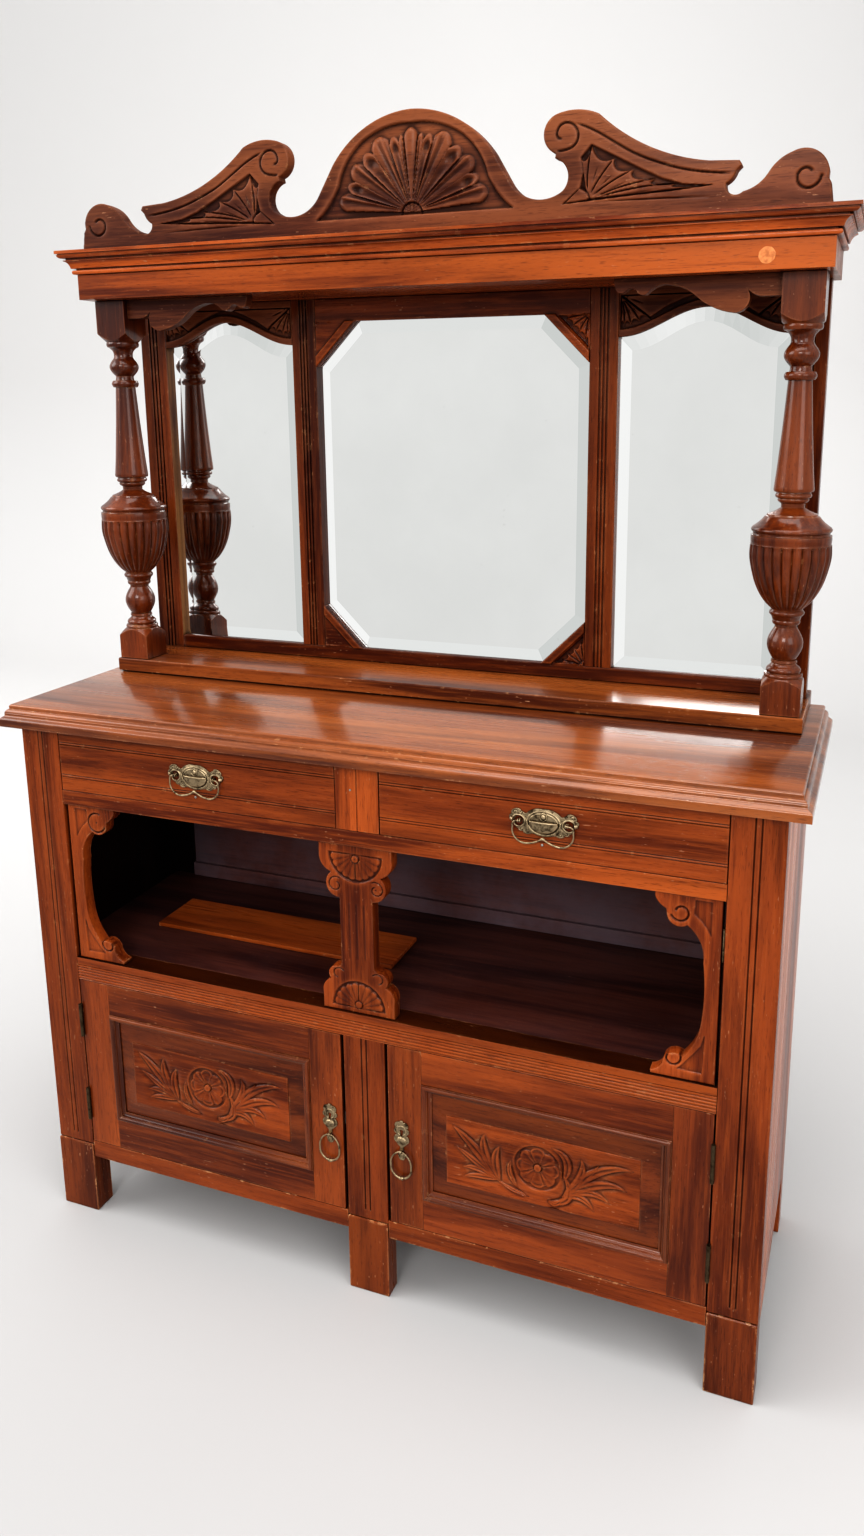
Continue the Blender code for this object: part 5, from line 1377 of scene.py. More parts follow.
class SIDEBOARD_OT_cut_fretwork(Operator):
    """Cut the fretted frames and the carved pilaster of the recess."""

    bl_idname = "sideboard.cut_fretwork"
    bl_label = "Cut Fretwork"

    def execute(self, context):
        sizes = settings("carving")
        for side, hand in SIDES:
            self.fret(side, f"fret_frame_{hand}", hand, sizes)
        self.pilaster(sizes.grid * 0.8)
        return {"FINISHED"}

    def fret(self, side, node, hand, sizes):
        x, y, z = spans(node)
        outer = x[1] if side > 0 else x[0]
        outline = fret_outline(z[1] - z[0]).placed((outer, z[0]), -side)
        piece = Carving.over(x, z, sizes.grid * 0.85, outline, tall=1.3)

        def at(*points):
            return [(outer - side * u / 1000, z[v >= 0] - v / 1000) for u, v in points]

        width, depth = sizes.line_width * 0.85, sizes.line_depth
        for field in (FRET_UPPER, FRET_LOWER):
            piece.outlined(at(*field), 0.0016, 0.0022, 0.0012)
        centre, foot = at((55.5, 26.5), (60, -30))
        if side > 0:
            scroll = spiral(centre, 0.0065, 0.0140, 175, -340)
        else:
            scroll = spiral(centre, 0.0160, 0.0165, 60, 285)
        piece.groove(scroll, width, depth, 0.05)
        if side < 0:
            piece.boss(centre, 0.0036, 0.0, 0.003)
        hook = spiral(foot, 0.0140, 0.0065, 75 if side > 0 else 105, -side * 300)
        piece.groove(hook, width, depth, 0.05)
        look = mahogany(f"fret_{hand}", "red", "Z", 1.2, carved=True)
        piece.build(f"fretted_frame_{hand}", *y, look, [node])

    def pilaster(self, step):
        x, y, z = spans("centre_pilaster")
        middle = middle_of(x)
        outline = pilaster_outline(z[1] - z[0]).doubled((middle, z[0]))
        piece = Carving.over(x, z, step, outline, tall=1.2)
        ends = ((z[1] - 0.0145, z[1] - 0.0215, -1, 0.0012), (z[0] + 0.0080, z[0] + 0.0135, 1, 0.0))
        for flat, boss_z, up, dip in ends:
            piece.outlined(half_circle((middle, flat), 0.044, 40, up), 0.0022, 0.0026, 0.0012)
            edges = [up * angle for angle in np.linspace(2, 178, 11)][::up]
            piece.petals((middle, flat), edges, [0.0415] * 10, 0.0026, ["ridge"] * 10, 0.06)
            piece.boss((middle, boss_z), 0.0062, 0.0012, dip, 0.0016)
        for offset in (-0.0125, 0.0, 0.0125):
            flute = [(middle + offset, z[0] + 0.088), (middle + offset, z[1] - 0.092)]
            piece.groove(flute, 0.0050, 0.0007, 0.05)
        for side, _ in SIDES:
            eye = (middle + side * 0.0335, z[1] - 0.0665)
            piece.groove(spiral(eye, 0.0045, 0.0135, 90, side * 400), 0.0026, 0.0018, 0.05)
            if side > 0:
                piece.boss(eye, 0.0030, 0.0, 0.003)
            foot = (middle + side * 0.0335, z[0] + 0.0600)
            piece.groove(spiral(foot, 0.0050, 0.0115, -90, side * 240), 0.0026, 0.0018, 0.05)
        look = mahogany("pilaster", "red", "Z", 1.2, carved=True)
        piece.build("carved_pilaster", *y, look, ["centre_pilaster"])


# Doors

# Leaves of a door's spray as shares of its field: start, middle, end (x, y each), width in mm
SPRAY_LEAVES = (
    (0.44, 0.92, 0.36, 0.88, 0.275, 0.79, 5.0), (0.275, 0.79, 0.17, 0.45, 0.033, 0.128, 12.0),
    (0.275, 0.79, 0.16, 0.60, 0.044, 0.42, 8.0), (0.275, 0.79, 0.17, 0.70, 0.083, 0.725, 8.0),
    (0.275, 0.79, 0.17, 0.80, 0.088, 0.86, 7.0), (0.265, 0.74, 0.205, 0.42, 0.205, 0.142, 11.0),
    (0.285, 0.78, 0.262, 0.50, 0.288, 0.27, 10.0), (0.54, 0.90, 0.58, 0.93, 0.617, 0.81, 6.0),
    (0.617, 0.81, 0.70, 0.47, 0.705, 0.174, 10.0), (0.617, 0.81, 0.72, 0.48, 0.793, 0.235, 9.0),
    (0.617, 0.81, 0.78, 0.35, 0.9637, 0.19, 11.0), (0.617, 0.81, 0.79, 0.52, 0.936, 0.50, 11.0),
    (0.617, 0.81, 0.74, 0.66, 0.8535, 0.74, 9.0), (0.617, 0.82, 0.70, 0.76, 0.775, 0.90, 8.0),
    (0.54, 0.93, 0.64, 0.80, 0.618, 0.48, 8.0), (0.62, 0.56, 0.63, 0.28, 0.556, 0.13, 9.0),
    (0.38, 0.82, 0.34, 0.62, 0.35, 0.42, 6.0),
)
# Section of the moulding round a door panel, in millimetres inwards and proud of the stiles
DOOR_MOULDING = (
    (0.0, 1.2), (0.5, 1.7, 1.1, 1.5, 4), (1.1, 2.2), (3.6, 5.0, 7.2, 3.4, 14),
    (8.0, 2.6, 8.3, 1.6, 5), (9.4, 1.5), (9.6, 0.2), (11.6, -2.4, 15.0, -4.0, 8), (15.0, -6.0),
    (7.5, -6.0), (7.5, -18.6), (15.0, -18.6), (15.0, -22.0), (0.0, -22.0),
)


class SIDEBOARD_OT_make_doors(Operator):
    """Frame the doors with mitred mouldings and carve their panels."""

    bl_idname = "sideboard.make_doors"
    bl_label = "Make Doors"

    def execute(self, context):
        for _, hand in SIDES:
            self.frame_door(f"door_{hand}")
            self.panel(f"door_{hand}")
        return {"FINISHED"}

    def frame_door(self, door):
        x, y, z = spans(f"{door}_frame")
        x = (x[0] + 0.0025, x[1]) if x[0] > 0 else (x[0], x[1] - 0.0025)
        face, back = y[0] + 0.005, y[1]
        stile, rail, gap = 0.056, 0.055, 0.00015
        inner_x, inner_z = (x[0] + stile, x[1] - stile), (z[0] + rail, z[1] - rail)
        between = (inner_x[0] + gap, inner_x[1] - gap)
        shape = Shape()
        for board_x, board_z, look in (
            ((x[0], inner_x[0]), z, 0), ((inner_x[1], x[1]), z, 0),
            (between, (z[0], inner_z[0]), 1), (between, (inner_z[1], z[1]), 1),
        ):
            shape.box(board_x, (face, back), board_z, look)
        loops = []
        for place, proud in Drawing(0.0, 0.0).trace(*DOOR_MOULDING).points:
            corners = rectangle(inner_x, inner_z, place / 1000 + gap)
            loops.append([(a, face - proud / 1000, b) for a, b in corners])
        shape.skin(loops, closed=True, looks=(2, 3, 2, 3))
        boards = (("stiles", "Z"), ("rails", "X"))
        looks = [mahogany(f"{door}_{part}", "red", grain) for part, grain in boards]
        looks += [mahogany(f"{door}_moulding", "red", grain, 0.7) for grain in "XZ"]
        shape.build(f"{door}_boards", looks, [f"{door}_frame"], 0.0005, body=door)

    def panel(self, door):
        x, (face, back), z = spans(f"{door}_panel")
        tongue, bevel = 0.006, 0.028
        edge, field = face + 0.0073, tongue + bevel
        steps = (
            (0.0, back), (0.0, edge), (tongue, edge), (field, face + 0.0013), (field, face + 0.004)
        )
        loops = [[(a, depth, b) for a, b in rectangle(x, z, inset)] for inset, depth in steps]
        look = mahogany(f"{door}_panel", "red", "X", 0.9)
        Shape().skin(loops).build(f"{door}_bevelled_panel", [look], [f"{door}_panel"], body=door)
        self.field(door, (x[0] + field, x[1] - field), (z[0] + field, z[1] - field), face)

    def field(self, door, x, z, face):
        step = settings("carving").grid * 0.72
        piece = Carving.over(x, z, step, rectangle(x, z), arris=0.0007, margin=0.0006)

        def at(u, v):
            return x[0] + u * (x[1] - x[0]), z[1] - v * (z[1] - z[0])

        spines = []
        for *places, width in SPRAY_LEAVES:
            start, middle, end = places[:2], places[2:4], places[4:]
            swing = [m + 1.1 * (m - (a + b) / 2) for a, m, b in zip(start, middle, end)]
            spines.append((bent(at(*start), at(*swing), at(*end), 14), width * 1.4 / 1000))
        piece.leaves(spines, 0.0034, 0.0032, 6)
        centre, radius = at(0.485, 0.467), 0.0335
        part = piece.window([centre], radius * 1.3)
        away = np.hypot(piece.x[part] - centre[0], piece.z[part] - centre[1])
        rim = radius * 1.12
        ground = -0.0024 * np.clip((rim - away) / 0.002, 0, 1)
        piece.rise[part] = np.where(away < rim, ground, piece.rise[part])
        edges = [67.5 + 45 * i for i in range(9)]
        piece.petals(centre, edges, [radius] * 8, 0.0032, ["hollow", "broad"] * 4, 0.13)
        piece.rise[part] -= 0.0022 * np.clip(1 - away / (radius * 0.62), 0, 1)
        piece.boss(centre, 0.0058, 0.0018, 0.0, 0.0014)
        look = mahogany(f"{door}_field", "red", "X", 0.9, carved=True)
        piece.rise = np.minimum(piece.rise, 0.0)
        piece.build(f"{door}_carved_field", face, face + 0.0035, look, (), door)


# Brass fittings

# Right half of a handle plate and its finger hole, in millimetres from the middle
HANDLE_PLATE = (
    (14.0, 17.6, 24.5, 10.6, 14), (27.0, 10.0), (33.0, 13.6), (34.0, 15.4),
    (42.0, 15.2, 47.4, 9.4, 10), (46.4, 6.6), (49.9, 4.0, 49.4, 0.6, 6),
    (47.6, -3.2, 43.6, -3.6, 6),
    (42.6, -6.0), (41.0, -10.8, 36.2, -13.2, 8), (36.8, -15.0), (33.0, -16.8, 29.6, -15.8, 6),
    (29.6, -18.2), (24.0, -20.4, 17.0, -18.4, 8), (8.0, -20.4, 0.0, -21.6, 8),
)
FINGER_HOLE = (
    (37.0, 5.4, 41.6, 1.2, 8), (42.0, -4.0, 38.6, -8.0, 8), (33.0, -8.2, 30.4, -2.6, 8), (30.6, 3.2)
)
# Curls on the right half of a plate in millimetres: x, z, radius, start and turn in degrees
HANDLE_CURLS = (
    (41.5, 10.0, 4.2, 200, 320), (32.5, 11.0, 2.6, -20, 280), (32.5, -13.2, 2.6, 100, -260),
    (24.0, -15.6, 3.4, 80, -240), (13.0, -18.0, 2.0, 60, -220),
)
KEYPLATE_CURLS = (
    (6.76, 16.12, 2.6, -60, 300), (7.8, 5.72, 2.2, 60, -280), (8.06, -7.8, 3.0, 120, -280)
)
# Right half of an escutcheon, as shares of its half width and half height
KEYPLATE = (
    (0.20, 0.98, 0.26, 0.90, 6), (0.80, 0.80, 0.84, 0.56, 8), (0.70, 0.50),
    (0.98, 0.34, 0.64, 0.10, 8), (0.66, 0.04), (0.99, -0.20, 0.74, -0.48, 10),
    (0.40, -0.66, 0.22, -0.74, 6), (0.22, -1.0), (0.0, -1.0),
)


def line_over(away, width):
    """A rounded ridge of height 1 where the distance away is less than a width."""
    return np.clip(1 - (away / width) ** 2, 0, 1)


def curls(plate, centre, rows, first, width, depth):
    """Cuts curls into both halves of a plate."""
    for end, _ in SIDES:
        for px, pz, radius, start, turn in rows:
            eye = (centre[0] + end * px / 1000, centre[1] + pz / 1000)
            start, turn = (start, turn) if end > 0 else (180 - start, -turn)
            plate.groove(spiral(eye, first, radius / 1000, start, turn), width, depth)


def axle(stations, centre, steps):
    """Loops of a round bar along X through (x, radius), round a centre (y, z)."""
    return [[(x, a, b) for a, b in circle(centre, radius, steps)] for x, radius in stations]


class SIDEBOARD_OT_cast_fittings(Operator):
    """Cast the drawer handles, the escutcheons and their rings."""

    bl_idname = "sideboard.cast_fittings"
    bl_label = "Cast Fittings"

    def execute(self, context):
        for _, hand in SIDES:
            self.handle(hand, f"drawer_{hand}")
            self.bail(hand, f"drawer_{hand}_bail")
            self.escutcheon(hand, f"door_{hand}")
            self.ring(hand, f"door_{hand}_ring")
        return {"FINISHED"}

    def handle(self, hand, body):
        node = f"{body}_handle_plate"
        x, y, z = spans(node)
        centre = middle, height = middle_of(x), z[0] + 0.92 / 1.92 * (z[1] - z[0])
        half = Drawing(0.0, 19.0, unit=MM).trace(*HANDLE_PLATE)
        hole = Drawing(30.6, 3.2, unit=MM).trace(*FINGER_HOLE)
        holes = [hole.placed(centre, end) for end, _ in SIDES]
        plate = Carving.over(x, z, 0.0005, half.doubled(centre), holes, 0.0009, 0.0008)
        dx, dz = (plate.x - middle) * 1000, (plate.z - height) * 1000
        plate.rise += 0.0022 * unit_dome((dx / 26.5) ** 2 + ((dz + 1.0) / 20.0) ** 2, 0.6)
        pouch_rim = np.hypot(dx / 1.30, np.minimum(dz + 0.5, 0.0))
        pouch = (pouch_rim / 15.6) ** 2 + np.clip((dz - 0.4) / 1.6, 0, 9) ** 2
        plate.rise += 0.0030 * unit_dome(pouch)
        plate.rise -= 0.0016 * line_over(np.sqrt(pouch) - 1.07, 0.07) * (dz < 3)
        plate.rise += 0.0010 * line_over(dz - 0.2, 1.5) * (np.abs(dx) < 20)
        stud = np.hypot(dx, (dz - 8.0) * 0.88)
        plate.rise = np.where(stud < 6.2, plate.rise - 0.0006, plate.rise)
        plate.rise += 0.0014 * line_over(stud - 4.9, 1.0) + 0.0022 * unit_dome((stud / 3.6) ** 2)
        for wide, tall, line in ((23.8, 17.4, 0.0495), (20.6, 14.0, 0.0405)):
            wave = np.sqrt((dx / wide) ** 2 + ((dz + 1.5) / tall) ** 2)
            plate.rise += 0.0008 * line_over(wave - 1.0, line) * (dz > -6)
        ball = np.hypot(np.abs(dx) - 46.0, dz - 0.4)
        plate.rise += 0.0030 * unit_dome((ball / 3.2) ** 2)
        ringed = np.hypot((np.abs(dx) - 36.2) / 1.1, dz + 1.2)
        plate.rise += 0.0014 * line_over(ringed - 8.2, 1.3)
        curls(plate, centre, HANDLE_CURLS, 0.0006, 0.0014, 0.0012)
        for end, _ in SIDES:
            for px, pz in ((26.5, 5.0), (28.0, -9.5), (21.5, -14.0)):
                tip = (middle + end * px / 1000, height + pz / 1000)
                plate.groove([(middle + end * 0.0215, height - 0.001), tip], 0.0012, 0.0007)
        plate.rise += 0.00016 * np.sin(dx * 3.1) * np.sin(dz * 3.3)
        front = y[1] - 0.0014
        plate.rise = np.minimum(plate.rise, front - y[0] - 0.0002)
        look = cast_brass(f"plate_{hand}", carved=True)
        plate.build(f"{body}_cartouche", front, y[1], look, [node], body, "brass", 2)
        lugs = Shape()
        pivot = y[1] - 0.0059
        for end, _ in SIDES:
            lug = middle + end * 0.034
            for shift in (-0.0014, 0.0014):
                sides = [(lug + shift + out, 0.0030) for out in (-0.0007, 0.0007)]
                lugs.skin(axle(sides, (pivot, height), 16))
            behind = (pivot + 0.0022, y[1] - 0.0008)
            lugs.box((lug - 0.0021, lug + 0.0021), behind, (height - 0.0026, height + 0.0026))
        plain = cast_brass(f"lugs_{hand}")
        lugs.build(f"{body}_lugs", [plain], (), 0.0003, body=body, slot="brass")

    def bail(self, hand, body):
        x, y, z = spans(body)
        middle, pivot = middle_of(x), z[1] - 0.0016
        half = Drawing(0.0, -22.6, unit=MM).trace(
            (1.2, -22.9), (10.0, -28.0, 23.0, -31.4, 12), (42.2, -21.0, 43.4, -8.6, 18),
            (42.4, -2.6, 38.4, -0.4, 8), (33.0, 0.0),
        )
        right = [tuple(p) for p in half.points]
        path = [(-px, pz) for px, pz in reversed(right[1:])] + right
        radii = []
        for px, _ in path:
            thin = 0.00034 * math.cos(math.pi * min(abs(px) / 0.0434, 1.0)) ** 2
            radii.append(0.00156 - thin + (0.0011 if abs(px) < 0.0013 else 0.0))
        placed = [(middle + px, pivot + pz) for px, pz in path]
        shape = Shape().skin(rod(placed, radii, middle_of(y)))
        look = cast_brass(f"bail_{hand}")
        shape.build(f"{body}_bow", [look], [body], 0.0, 50, body, "brass")

    def escutcheon(self, hand, body):
        x, y, z = spans(f"{body}_escutcheon")
        wide, high = 0.013, 0.026
        centre = middle, height = middle_of(x), z[1] - high
        half = Drawing(0.0, 1.0, unit=(wide, high)).trace(*KEYPLATE)
        keyhole = Drawing(0.0, 0.40, unit=(wide, high))
        keyhole.trace((0.20, 0.36, 0.15, 0.24, 8), (0.13, -0.02), (0.0, -0.02))
        plate = Carving.over(
            x, (height - high, height + high), 0.00042,
            half.doubled(centre), [keyhole.doubled(centre)], 0.0007, 0.0006,
        )
        dx, dz = plate.x - middle, plate.z - height
        plate.rise += 0.0030 * unit_dome((dx / 0.0082) ** 2 + ((dz + 0.0075) / 0.0062) ** 2)
        plate.rise += 0.0016 * unit_dome((np.hypot(dx, dz + 0.0012) / 0.0022) ** 2)
        plate.rise += 0.0008 * line_over(np.hypot(dx / 0.9, dz - 0.009) - 0.0080, 0.0012)
        curls(plate, centre, KEYPLATE_CURLS, 0.0007, 0.0011, 0.0008)
        front = y[1] - 0.0016
        plate.rise = np.minimum(plate.rise, front - y[0] - 0.0002)
        look = cast_brass(f"escutcheon_{hand}", carved=True)
        nodes = [f"{body}_escutcheon"]
        plate.build(f"{body}_keyplate", front, y[1], look, nodes, body, "brass", 2)
        pivot_y, pivot_z = middle_of(spans(f"{body}_ring")[1]), height - high
        stations = ((-0.0020, 0.0022), (-0.0016, 0.0029), (0.0016, 0.0029), (0.0020, 0.0022))
        stations = [(middle + shift, radius) for shift, radius in stations]
        knuckle = Shape().skin(axle(stations, (pivot_y, pivot_z), 18))
        behind = (pivot_y + 0.001, y[1] - 0.0004)
        high = (pivot_z - 0.0022, pivot_z + 0.0024)
        knuckle.box((middle - 0.0016, middle + 0.0016), behind, high)
        plain = cast_brass(f"knuckle_{hand}")
        knuckle.build(f"{body}_knuckle", [plain], (), 0.0003, body=body, slot="brass")
        drop = Drawing(0.0, -1.5, unit=MM)
        drop.trace((2.2, -2.6), (6.4, -6.0, 5.4, -11.4, 8), (3.6, -15.4, 0.0, -17.0, 6))
        leaf = Carving.over(
            (middle - 0.0075, middle + 0.0075), (pivot_z - 0.0178, pivot_z - 0.0008), 0.00042,
            drop.doubled((middle, pivot_z)), (), 0.0006, 0.0,
        )
        lx, lz = (leaf.x - middle) * 1000, (leaf.z - pivot_z) * 1000
        oval = np.hypot(lx / 3.4, (lz + 9.2) / 4.4)
        leaf.rise += 0.0011 * unit_dome(oval**2) - 0.0007 * line_over(oval - 1.12, 0.14)
        leaf.rise += 0.0002 * np.sin(lz * 3.5) * (oval > 1.25)
        leaf.build(f"{body}_drop", y[1] - 0.0016, y[1], look, (), body, "brass", 2)

    def ring(self, hand, body):
        x, y, z = spans(body)
        middle, pivot = middle_of(x), z[1] - 0.0016
        width, drop = 0.034, 0.046
        half = Drawing(0.0, 0.0).trace(
            (0.004, 0.0), (0.42 * width, -0.22 * drop, width / 2, -0.55 * drop, 14),
            (0.36 * width, -0.87 * drop, 0.0, -drop, 16),
        )
        path = half.doubled((middle, pivot))
        radii = []
        for px, pz in path:
            across = abs(px - middle)
            radius = 0.0013 + 0.0004 * (pivot - pz) / drop
            if pz < pivot - 0.8 * drop and across < 0.0045:
                radius = 0.0020 if across < 0.0006 else 0.0030 if across < 0.0032 else 0.0018
            radii.append(radius)
        shape = Shape().skin(rod(path, radii, middle_of(y), closed=True), closed=True)
        look = cast_brass(f"ring_{hand}")
        shape.build(f"{body}_bow", [look], [body], 0.0, 50, body, "brass")


# Mirror frame

ARCH_FOOT = 1.507
HEAD_LINE = 1.569


def arch_line(side, rise=0.0, steps=40):
    """The ogee edge over a side mirror, from its inner to its outer stile."""
    low, wide, crown = 0.2863, 0.2584, 0.52
    points = []
    for i in range(steps + 1):
        part = i / steps
        away = abs(part - crown) / (crown if part < crown else 1 - crown)
        lift = 0.041 * (1 + math.cos(math.pi * away)) / 2 + rise
        points.append((side * (low + wide * part), ARCH_FOOT + lift))
    return points


class SIDEBOARD_OT_frame_mirrors(Operator):
    """Carve the rails and heads round the mirrors, and cut the scalloped brackets."""

    bl_idname = "sideboard.frame_mirrors"
    bl_label = "Frame Mirrors"

    def execute(self, context):
        step = settings("carving").grid * 0.8
        self.rail("frame_bottom_rail", 1, step)
        self.rail("frame_top_rail", -1, step)
        for side, hand in SIDES:
            self.arch_head(side, f"arch_head_{hand}", step)
            self.bracket(side, f"valance_{hand}", f"bracket_{hand}")
            self.stile(side, f"inner_stile_{hand}", (0.0155, *[0.0030] * 5), -2)
            self.stile(side, f"outer_stile_{hand}", (0.0170, *[0.0030, 0.0040] * 2, 0.0030), 0)
        return {"FINISHED"}

    def stile(self, side, node, bands, rebate):
        """An upright with plain bands, beads and deep lines down its face."""
        x, (front, back), z = spans(node)
        section = Drawing(0.0, back).trace((0.0, front + 0.0008), (0.0008, front))
        place = 0.0
        for i, width in enumerate(bands):
            end = place + width
            if i % 2:
                section.trace((place + 0.0002, front + 0.0030), (end - 0.0002, front + 0.0030))
                section.trace((end, front + 0.0005), (end + 0.0005, front))
            else:
                section.trace((end - 0.0005, front), (end, front + 0.0005))
            place = end
        wide = x[1] - x[0]
        section.trace((wide - 0.0008, front), (wide, front + 0.0008), (wide, back))
        outline = section.placed((x[0] if side > 0 else x[1], 0.0), side)
        looks = [0] * len(outline)
        looks[rebate] = int(side < 0)
        shape = Shape().skin([[(a, b, height) for a, b in outline] for height in z], looks=looks)
        wood = mahogany(node, "red", "Z", 0.9)
        pale = polished_wood(f"{node}_rebate", (0.16, 0.07, 0.03), "Z", 0.3, 1.5)
        shape.build(f"{node}_lined", [wood, pale], [node])

    def rail(self, node, up, step):
        x, y, z = spans(node)
        front = y[0] + 0.003
        inner, cant = 0.2407, 0.075
        fine_from = inner - cant - 0.008
        stretches = [(0.0, fine_from, step * 5), (fine_from, inner + 0.001, step)]
        if up > 0:
            corner, rear_x, rear_z = 0.980, x, (z[0], 0.980 - 0.008)
            outline = Drawing(0.0, z[0]).trace((x[1], z[0]), (x[1], corner), (inner, corner))
            outline.trace((inner, corner + cant), (inner - cant, corner), (0.0, corner))
            stretches.append((inner + 0.001, x[1] + 0.001, step * 5))
        else:
            corner, rear_x, rear_z = 1.544, (-inner, inner), (1.544 + 0.008, z[1])
            outline = Drawing(0.0, corner).trace((inner - cant, corner), (inner, corner - cant))
            outline.trace((inner, z[1]), (0.0, z[1]))
        zs = spaced((z[0] - 0.001, z[1] + 0.001, step))
        piece = Carving(mirrored(spaced(*stretches)), zs, outline.doubled(), arris=0.0008)
        if up < 0:
            across = (-inner - 0.01, inner + 0.01)
            piece.sink(rectangle(across, (1.5520, 1.5605)), 0.0020, 0.0008)
            for line_z in (1.5508, 1.5618):
                piece.groove([(end, line_z) for end in across], 0.0034, 0.0034)
        for side, _ in SIDES:
            def at(*points):
                return [(side * (inner - u / 1000), corner + up * v / 1000) for u, v in points]

            bar = inside_by(piece.x, piece.z, at((0, 74), (0, 57), (57, 0), (74, 0)))
            bar_rise = 0.003 * np.clip((bar + 0.0006) / 0.0010, 0, 1)
            piece.rise = np.maximum(piece.rise, bar_rise)
            piece.sink(at((2, 2), (52, 2), (2, 52)), 0.0036)
            tips = at((2.5, 48), (7.5, 41), (19, 29.5), (29.5, 19), (41, 7.5), (48, 2.5))
            piece.fan(at((1, 1))[0], tips, 0.0030, 0.0030)
            piece.groove(at((9, 1), (6.5, 6.5), (1, 9)), 0.0022, 0.0014)
        look = mahogany(node, "red", "X", 0.8, carved=True)
        piece.build(f"{node}_face", front, front + 0.0122, look, [node])
        shape = Shape().box(rear_x, (front + 0.0115, y[1]), rear_z)
        shape.build(f"{node}_rebate", [look], (), 0.0004)

    def arch_head(self, side, node, step):
        x, y, z = spans(node)

        def closed(line):
            return [*line, (line[-1][0], z[1]), (line[0][0], z[1])]

        outline = closed(arch_line(side))
        piece = Carving.over(x, (ARCH_FOOT, z[1]), step, outline, arris=0.0008)
        edge = arch_line(side, 0.0105)
        inner, outer = edge[0][0] + side * 0.0015, edge[-1][0] - side * 0.0015
        field = [(inner, edge[0][1]), *edge[1:-1], (outer, edge[-1][1])]
        field += [(outer, HEAD_LINE), (inner, HEAD_LINE)]
        piece.sink(field, 0.0044)
        before = piece.rise.copy()
        for corner, way in ((inner, side), (outer, -side)):
            def at(*points):
                return [(corner + way * u / 1000, HEAD_LINE - v / 1000) for u, v in points]

            piece.raised(at((2, 0.5), (118, 0.5), (95, 9), (68, 21), (46.5, 34.5)), 0.0042)
            tips = at((46.5, 34.5), (32, 41), (18, 46), (7, 47.5), (1.5, 46))
            piece.fan(at((1.5, 1.5))[0], tips, 0.0042, 0.0028)
            piece.groove(at((5, 4), (24, 18), (46.5, 34.5)), 0.0030, 0.0036)
            piece.groove(at((13, 5), (36, 13)), 0.0026, 0.0026, 0.4)
            piece.groove(at((12, 0), (8.5, 8.5), (0, 12)), 0.0024, 0.0020)
        within = inside_by(piece.x, piece.z, field) > 0.0016
        piece.rise = np.where(within, np.minimum(piece.rise, 0.0), before)
        look = mahogany(node, "brown", "X", 0.8, carved=True)
        piece.build(f"{node}_carved", y[0], y[0] + 0.0122, look, [node])
        shape = Shape().slab(closed(arch_line(side, 0.008)), (y[0] + 0.0115, y[1]))
        shape.build(f"{node}_rebate", [look])

    def bracket(self, side, node, name):
        x, y, z = spans(node)
        outline = Drawing(0.0, 0.0, unit=(0.235, 0.050)).trace(
            (0.0, -0.60), (0.100, -0.60), (0.158, -0.545, 0.198, -0.40, 6),
            (0.186, -0.74, 0.290, -1.0, 14), (0.395, -0.86, 0.503, -0.52, 12),
            (0.600, -0.27, 0.695, -0.19, 8), (0.745, -0.25, 0.784, -0.37, 6),
            (0.820, -0.46, 0.852, -0.40, 6), (0.888, -0.27, 0.930, -0.34, 8),
            (0.972, -0.37, 0.992, -0.24, 8), (1.0, -0.12), (1.0, 0.0),
        )
        outer = x[1] if side > 0 else x[0]
        look = mahogany(node, "brown", "X", 0.8)
        shape = Shape().slab(outline.placed((outer, z[1]), -side), y)
        shape.build(name, [look], [node], 0.0009)


# Small marks


class SIDEBOARD_OT_add_marks(Operator):
    """Add the blank paper dot on the frieze, a nail head, and a stray metal tab by the fretwork."""

    bl_idname = "sideboard.add_marks"
    bl_label = "Add Marks"

    def execute(self, context):
        paper, shader, start = new_material("old_paper")
        stain = start.noise(160.0, 4.0, 0.6).ramp(0.35, 0.70)
        base = stain.blend((0.55, 0.20, 0.055), (0.36, 0.11, 0.03))
        connect(start, shader, base, 0.55 + stain * 0.2)
        frieze = spans("frieze_and_soffit")[1][0]
        self.dot(
            "paper_dot", (0.5200, 1.5998), frieze, 0.0112, 0.0004, paper, "bright_mahogany", 0.04
        )
        muntin = spans("muntin_drawers")[1][0]
        nail = dull_steel("nail")
        self.dot("nail_muntin", (-0.0100, 0.8577), muntin, 0.0017, 0.0005, nail, "steel")
        (edge, _), (front, _), _ = spans("post_right")
        tab = Shape()
        tab.box((edge - 0.0030, edge - 0.0008), (front + 0.006, front + 0.024), (0.6800, 0.7280))
        tab.build("metal_tab", [cast_brass("tab", 0.5)], (), 0.0006, slot="brass")
        return {"FINISHED"}

    def dot(self, name, centre, face, radius, thick, look, slot, ragged=0.0):
        loops = []
        for out, share in ((-0.0006, 1.0), (thick * 0.6, 1.0), (thick, 0.94), (thick, 0.5)):
            loop = []
            for i, (px, pz) in enumerate(circle((0.0, 0.0), radius * share, 28)):
                angle = math.tau * i / 28
                torn = 1 + ragged * math.sin(angle * 5) * math.sin(angle * 3 + 1)
                loop.append((centre[0] + px * torn, face - out, centre[1] + pz * torn))
            loops.append(loop)
        Shape().skin(loops).build(name, [look], slot=slot)


# Studio

